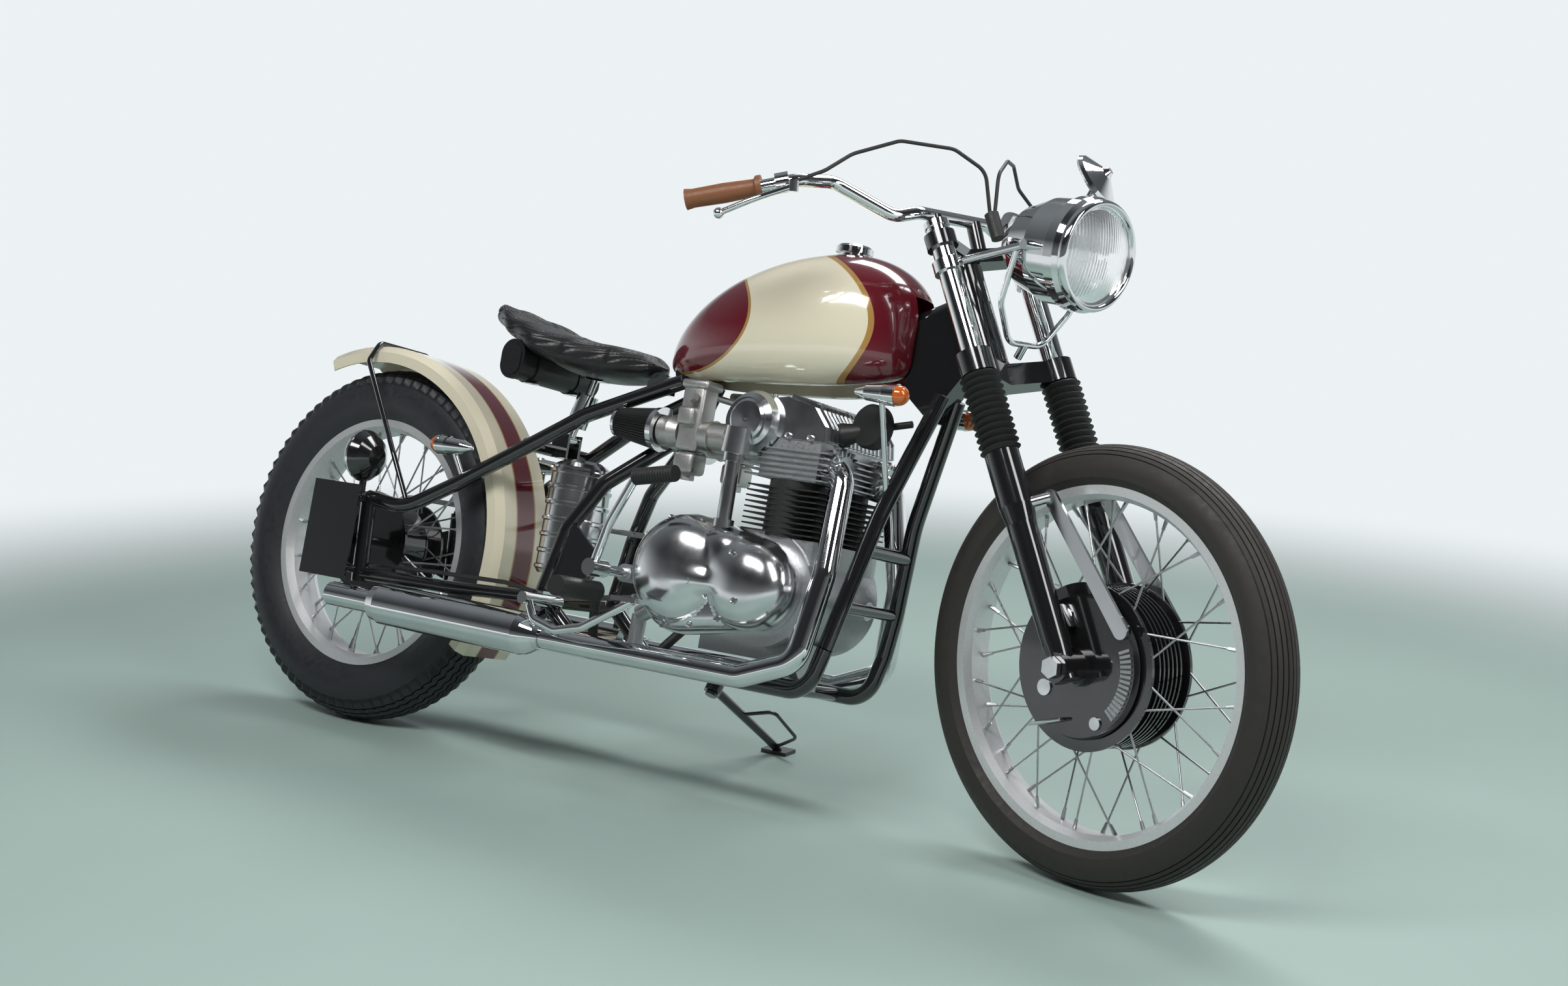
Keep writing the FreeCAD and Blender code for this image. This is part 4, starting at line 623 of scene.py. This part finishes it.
head_screws += [((0.935 + 0.045 * i, y, 0.7075 - 0.004 * i), (0, 0, 1)) for i in range(3) for y in (-0.09, 0.0, 0.09)]
socket_screws("head_screws", upright, "frame", head_screws)

# ---------------------------------------------------------------- carburettors and filters
# A pair of flat-slide carburettors in bead-blasted alloy, each with a pleated cone filter on a
# clamped rubber neck.
mesh = bmesh.new()
for side in (-1, 1):
    y = side * 0.073
    for low, high, soft in (((0.742, -0.022, 0.596), (0.790, 0.022, 0.716), 0.007),
                            ((0.738, -0.026, 0.706), (0.796, 0.026, 0.722), 0.006),
                            ((0.744, -0.023, 0.556), (0.788, 0.023, 0.594), 0.008),
                            ((0.746, -0.034, 0.640), (0.780, 0.034, 0.672), 0.006)):
        size = Vector(high) - Vector(low)
        middle = (Vector(high) + Vector(low)) / 2 + Vector((0, y, 0))
        made = bmesh.ops.create_cube(mesh, size=1.0, matrix=Matrix.Translation(middle) @ Matrix.Diagonal((*size, 1)))
        soften(mesh, made, soft, 3)
    for x0, x1, r0, r1, z in ((0.700, 0.724, 0.0275, 0.0275, 0.628), (0.724, 0.742, 0.031, 0.024, 0.628),
                              (0.788, 0.812, 0.024, 0.029, 0.626), (0.812, 0.846, 0.026, 0.026, 0.626),
                              (0.846, 0.898, 0.0252, 0.0242, 0.622)):
        at = (Matrix.Translation(((x0 + x1) / 2, y, z)) @ Matrix.Rotation(pi / 2, 4, "Y"))
        bmesh.ops.create_cone(mesh, cap_ends=True, segments=48, radius1=r0, radius2=r1, depth=x1 - x0, matrix=at)
    knob = Matrix.Translation((0.774, y - 0.036, 0.690)) @ Matrix.Rotation(pi / 2, 4, "X")
    bmesh.ops.create_cone(mesh, cap_ends=True, segments=6, radius1=0.011, radius2=0.010, depth=0.014, matrix=knob)
    nut = Matrix.Translation((0.766, y, 0.552))
    bmesh.ops.create_cone(mesh, cap_ends=True, segments=6, radius1=0.013, radius2=0.013, depth=0.012, matrix=nut)
rod_at = Matrix.Translation((0.770, 0, 0.700)) @ Matrix.Rotation(pi / 2, 4, "X")
bmesh.ops.create_cone(mesh, cap_ends=True, segments=20, radius1=0.006, radius2=0.006, depth=0.100, matrix=rod_at)
blasted = surface_material("bead_blasted_alloy", (0.56, 0.555, 0.54), 1.0, (0.36, 0.5), 400, 0.2)
piece = fitted("carburettor_pair", mesh, upright, blasted, "frame", 30)
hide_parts("carburettors")

mesh = bmesh.new()
trim = bmesh.new()
PLEATS = 44
for side in (-1, 1):
    base, tip = Vector((0.694, side * 0.0735, 0.629)), Vector((0.600, side * 0.0748, 0.6337))
    along = tip - base
    place = facing((base + tip) / 2, along)
    made = bmesh.ops.create_cone(mesh, cap_ends=True, segments=PLEATS * 2, radius1=0.0385, radius2=0.0265,
                                 depth=along.length, matrix=Matrix.Identity(4))
    for vert in made["verts"]:
        index = round(atan2(vert.co.y, vert.co.x) / (pi / PLEATS))
        if index % 2:
            vert.co.x *= 0.9
            vert.co.y *= 0.9
    bmesh.ops.transform(mesh, matrix=place, verts=made["verts"])
    for share, radius, long in ((-0.47, 0.0402, 0.012), (0.50, 0.0278, 0.007)):
        at = place @ Matrix.Translation((0, 0, along.length * share))
        bmesh.ops.create_cone(trim, cap_ends=True, segments=56, radius1=radius, radius2=radius * 0.96, depth=long,
                              matrix=at)
piece = fitted("filter_pleats", mesh, upright, matt_black, "frame", 30)
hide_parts("air_filters")
fitted("filter_ends", trim, upright, chrome, "frame", 30)

# ---------------------------------------------------------------- lamp
# Seven-inch lamp: chrome rim, domed glass with upright flutes, in front of its bright bowl.
LAMP_AT, LAMP_R = Vector((1.486, 0, 0.985)), 0.092
LAMP_WAY = Vector((cos(radians(6)), 0, -sin(radians(6))))
lamp_place = turned @ facing(LAMP_AT, LAMP_WAY)
mesh = bmesh.new()
ring = [mesh.verts.new((LAMP_R - 0.009 + 0.006 * cos(angle), 0, 0.002 + 0.009 * sin(angle)))
        for angle in (2 * pi * step / 14 for step in range(14))]
edges = [mesh.edges.new(pair) for pair in zip(ring, ring[1:] + ring[:1])]
bmesh.ops.spin(mesh, geom=ring + edges, cent=(0, 0, 0), axis=(0, 0, 1), angle=2 * pi, steps=96, use_merge=True)
bmesh.ops.recalc_face_normals(mesh, faces=mesh.faces)
fitted("lamp_rim", mesh, lamp_place, chrome, "steering", 60)

mesh = bmesh.new()
bmesh.ops.create_uvsphere(mesh, u_segments=160, v_segments=96, radius=1.0)
for vert in mesh.verts:
    ring_share = min(1.0, (vert.co.x ** 2 + vert.co.y ** 2) ** 0.5)
    flute = 0.0011 * (0.5 + 0.5 * cos(vert.co.x * 2 * pi * 13)) * (1 if ring_share < 0.93 else 0)
    height = 0.020 * (1 - ring_share ** 2) + flute if vert.co.z > 0 else 0.0006
    vert.co = (vert.co.x * (LAMP_R - 0.012), vert.co.y * (LAMP_R - 0.012), height)
bmesh.ops.transform(mesh, matrix=lamp_place, verts=mesh.verts)
bmesh.ops.recalc_face_normals(mesh, faces=mesh.faces)
piece = added("lamp_glass", mesh, 60)
glass, nodes, links = new_material("fluted_glass")
shader = nodes.new("ShaderNodeBsdfPrincipled")
shader.inputs["Base Color"].default_value = (0.93, 0.95, 0.96, 1)
shader.inputs["Roughness"].default_value = 0.04
shader.inputs["Transmission Weight"].default_value = 0.82
shader.inputs["IOR"].default_value = 1.45
surface = nodes.new("ShaderNodeOutputMaterial")
links.new(shader.outputs[0], surface.inputs["Surface"])
piece.data.materials.append(glass)
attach(piece, "steering")

# ---------------------------------------------------------------- small lamps
# Amber domes on the open ends of the four bullet indicators, a red lens and a bright ring on the
# tail light, and the ribbed rubber on the kick pedal.
amber = surface_material("amber_lens", (0.62, 0.13, 0.01), 0.0, (0.06, 0.12), 60, 0.02, 1.0)
red_lens = surface_material("red_lens", (0.30, 0.008, 0.008), 0.0, (0.06, 0.12), 60, 0.02, 1.0)
INDICATORS = ((1.194, 0.122, 0.724, 1), (0.232, 0.134, 0.548, -1))
mesh = bmesh.new()
collars = bmesh.new()
for side in (-1, 1):
    for x, y, z, forwards in INDICATORS:
        at = Matrix.Translation((x + forwards * 0.002, side * y, z)) @ Matrix.Diagonal((0.019, 0.0172, 0.0172, 1))
        bmesh.ops.create_uvsphere(mesh, u_segments=32, v_segments=20, radius=1.0, matrix=at)
        ring_at = Matrix.Translation((x - forwards * 0.002, side * y, z)) @ Matrix.Rotation(pi / 2, 4, "Y")
        bmesh.ops.create_cone(collars, cap_ends=True, segments=40, radius1=0.0187, radius2=0.0187, depth=0.006,
                              matrix=ring_at)
ring_at = Matrix.Translation((0.059, -0.150, 0.506)) @ Matrix.Rotation(pi / 2, 4, "Y")
bmesh.ops.create_cone(collars, cap_ends=True, segments=64, radius1=0.0495, radius2=0.0495, depth=0.004, matrix=ring_at)
tail = bmesh.new()
at = Matrix.Translation((0.048, -0.150, 0.506)) @ Matrix.Diagonal((0.012, 0.040, 0.040, 1))
bmesh.ops.create_uvsphere(tail, u_segments=48, v_segments=24, radius=1.0, matrix=at)
pedal = bmesh.new()
pedal_from, pedal_to = Vector((0.757, -0.2001, 0.5323)), Vector((0.838, -0.204, 0.546))
pedal_way = (pedal_to - pedal_from).normalized()
for index in range(15):
    spot = pedal_from + (pedal_to - pedal_from) * (index / 14)
    bmesh.ops.create_cone(pedal, cap_ends=True, segments=32, radius1=0.0148, radius2=0.0138, depth=0.0040,
                          matrix=facing(spot, pedal_way))
for made_mesh, name, finish_of, slot in ((mesh, "indicator_lenses", amber, "indicator_amber"),
                                         (collars, "lamp_collars", chrome, "chrome"),
                                         (tail, "tail_lens", red_lens, "chrome"),
                                         (pedal, "kick_rubber", rubber, "black_rubber")):
    fitted(name, made_mesh, upright, finish_of, "frame", 40)

# ---------------------------------------------------------------- tool roll
# Two straps with buckles round the leather roll, and a stitched oval panel on each end.
BAG_AT = Vector((0.352, 0, 0.725))
ROLL_R, ROLL_RISE = 0.027, 0.009


def roll_outline(grow, steps=40):
    """The roll's upright oval, grown outwards, as (x, z) points."""
    points = []
    for step in range(steps):
        angle = 2 * pi * step / steps
        lift = ROLL_RISE if sin(angle) >= 0 else -ROLL_RISE
        points.append((BAG_AT.x + (ROLL_R + grow) * cos(angle), BAG_AT.z + lift + (ROLL_R + grow) * sin(angle)))
    return points


def oval_slab(mesh, grow, y_from, y_to):
    rings = [[mesh.verts.new((x, y, z)) for x, z in roll_outline(grow)] for y in (y_from, y_to)]
    for first, second in zip(range(len(rings[0])), [*range(1, len(rings[0])), 0]):
        mesh.faces.new((rings[0][first], rings[0][second], rings[1][second], rings[1][first]))
    mesh.faces.new(rings[0])
    mesh.faces.new(rings[1][::-1])


mesh = bmesh.new()
buckles = bmesh.new()
for side in (-1, 1):
    oval_slab(mesh, 0.0012, side * 0.103, side * 0.1135)
    oval_slab(mesh, -0.006, side * 0.1135, side * 0.1155)
    oval_slab(mesh, 0.0022, side * 0.052, side * 0.070)
    at = Matrix.Translation((BAG_AT.x + 0.010, side * 0.061, BAG_AT.z - 0.0375))
    made = bmesh.ops.create_cube(buckles, size=1.0, matrix=at @ Matrix.Diagonal((0.020, 0.024, 0.003, 1)))
    soften(buckles, made, 0.001)
for made_mesh, name, finish_of, slot in ((mesh, "roll_straps", leather, "black_leather"),
                                         (buckles, "roll_buckles", chrome, "chrome")):
    bmesh.ops.recalc_face_normals(made_mesh, faces=made_mesh.faces)
    fitted(name, made_mesh, upright, finish_of, "frame", 40)

# ---------------------------------------------------------------- front brake
# Black drum and brake plates: each plate has a row of vent slots along its front, two blanking
# plugs and a plated arm, and the fork lugs end in bright nuts.
mesh = bmesh.new()
dark = bmesh.new()
for side in (-1, 1):
    face_y = side * 0.0652
    for index in range(15):
        angle = radians(-42 + index * 4.6)
        spot = front_centre + Vector((0.094 * cos(angle), face_y, 0.094 * sin(angle)))
        at = (Matrix.Translation(spot) @ Matrix.Rotation(-angle, 4, "Y") @ Matrix.Diagonal((0.020, 0.004, 0.0045, 1)))
        bmesh.ops.create_cube(dark, size=1.0, matrix=at)
    for x, z, radius in ((-0.060, -0.040, 0.013), (-0.030, 0.075, 0.012), (0.045, -0.080, 0.010)):
        at = Matrix.Translation(front_centre + Vector((x, face_y, z))) @ Matrix.Rotation(pi / 2, 4, "X")
        bmesh.ops.create_cone(mesh, cap_ends=True, segments=32, radius1=radius, radius2=radius, depth=0.006, matrix=at)
    for start, end in (((-0.012, -0.082), (-0.075, -0.100)), ((-0.035, 0.092), (-0.010, 0.060))):
        arm_y = face_y + side * 0.008
        first, last = Vector((start[0], arm_y, start[1])), Vector((end[0], arm_y, end[1]))
        along = last - first
        at = facing(front_centre + (first + last) / 2, along) @ Matrix.Diagonal((0.016, 0.006, along.length, 1))
        soften(mesh, bmesh.ops.create_cube(mesh, size=1.0, matrix=at), 0.0025)
    at = Matrix.Translation(front_centre + Vector((0, side * 0.1265, 0))) @ Matrix.Rotation(pi / 2, 4, "X")
    bmesh.ops.create_cone(mesh, cap_ends=True, segments=6, radius1=0.017, radius2=0.017, depth=0.010, matrix=at)
for made_mesh, name, finish_of in ((mesh, "brake_fittings", polished), (dark, "brake_vents", cast)):
    fitted(name, made_mesh, turned, finish_of, "steering", 30)

# ---------------------------------------------------------------- painted pieces
MAROON = (0.13, 0.008, 0.016, 1)
CREAM = (0.78, 0.72, 0.55, 1)
GOLD = (0.42, 0.24, 0.07, 1)


def painted(name, placement, build_masks):
    """Gloss paint whose colours are laid out on the upright machine."""
    material, nodes, links = new_material(name)
    place = nodes.new("ShaderNodeTexCoord")
    back = nodes.new("ShaderNodeMapping")
    inverse = placement.inverted()
    back.inputs["Location"].default_value = inverse.to_translation()
    back.inputs["Rotation"].default_value = inverse.to_euler()
    links.new(place.outputs["Object"], back.inputs["Vector"])
    shader = nodes.new("ShaderNodeBsdfPrincipled")
    shader.inputs["Roughness"].default_value = 0.16
    shader.inputs["Coat Weight"].default_value = 1.0
    shader.inputs["Coat Roughness"].default_value = 0.03
    links.new(build_masks(nodes, links, back.outputs["Vector"]), shader.inputs["Base Color"])
    surface = nodes.new("ShaderNodeOutputMaterial")
    links.new(shader.outputs[0], surface.inputs["Surface"])
    return material


def maths(nodes, links, operation, *inputs):
    """One Math node; inputs are numbers or sockets."""
    node = nodes.new("ShaderNodeMath")
    node.operation = operation
    for slot, value in zip(node.inputs, inputs):
        if isinstance(value, bpy.types.NodeSocket):
            links.new(value, slot)
        else:
            slot.default_value = value
    return node.outputs[0]


def pick(nodes, links, mask, off, on):
    """The second colour where the mask is 1."""
    node = nodes.new("ShaderNodeMix")
    node.data_type = "RGBA"
    links.new(mask, node.inputs["Factor"])
    for name, value in (("A", off), ("B", on)):
        if isinstance(value, bpy.types.NodeSocket):
            links.new(value, node.inputs[name])
        else:
            node.inputs[name].default_value = value
    return node.outputs["Result"]


def tank_colours(nodes, links, where):
    """Cream panel on each side between two curved fronts, edged with a gold line."""
    split = nodes.new("ShaderNodeSeparateXYZ")
    links.new(where, split.inputs[0])
    x, y, z = split.outputs
    rear_x = maths(nodes, links, "SUBTRACT", x, 0.705)
    rear_z = maths(nodes, links, "SUBTRACT", z, 0.835)
    rear_x = maths(nodes, links, "DIVIDE", rear_x, 0.170)
    rear_z = maths(nodes, links, "DIVIDE", rear_z, 0.100)
    rear = maths(nodes, links, "SQRT", maths(nodes, links, "ADD", maths(nodes, links, "MULTIPLY", rear_x, rear_x),
                                             maths(nodes, links, "MULTIPLY", rear_z, rear_z)))
    outside_rear = maths(nodes, links, "SUBTRACT", rear, 1.0)
    front_x = maths(nodes, links, "SUBTRACT", x, 0.860)
    front_z = maths(nodes, links, "SUBTRACT", z, 0.835)
    front_x = maths(nodes, links, "DIVIDE", front_x, 0.245)
    front_z = maths(nodes, links, "DIVIDE", front_z, 0.142)
    front = maths(nodes, links, "SQRT", maths(nodes, links, "ADD", maths(nodes, links, "MULTIPLY", front_x, front_x),
                                              maths(nodes, links, "MULTIPLY", front_z, front_z)))
    inside_front = maths(nodes, links, "SUBTRACT", 1.0, front)
    depth = maths(nodes, links, "MINIMUM", outside_rear, inside_front)
    cream = maths(nodes, links, "GREATER_THAN", depth, 0.0)
    line = maths(nodes, links, "LESS_THAN", maths(nodes, links, "ABSOLUTE", depth), 0.018)
    body = pick(nodes, links, cream, MAROON, CREAM)
    return pick(nodes, links, line, body, GOLD)


def fender_colours(nodes, links, where):
    """Maroon band along the crown, gold lines beside it, cream sides."""
    split = nodes.new("ShaderNodeSeparateXYZ")
    links.new(where, split.inputs[0])
    side = maths(nodes, links, "ABSOLUTE", split.outputs["Y"])
    band = maths(nodes, links, "LESS_THAN", side, 0.024)
    off_line = maths(nodes, links, "ABSOLUTE", maths(nodes, links, "SUBTRACT", side, 0.0255))
    line = maths(nodes, links, "LESS_THAN", off_line, 0.0018)
    return pick(nodes, links, line, pick(nodes, links, band, CREAM, MAROON), GOLD)


finish("fuel_tank", painted("tank_paint", upright, tank_colours))
finish("rear_fender", painted("fender_paint", upright, fender_colours))

low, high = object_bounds()
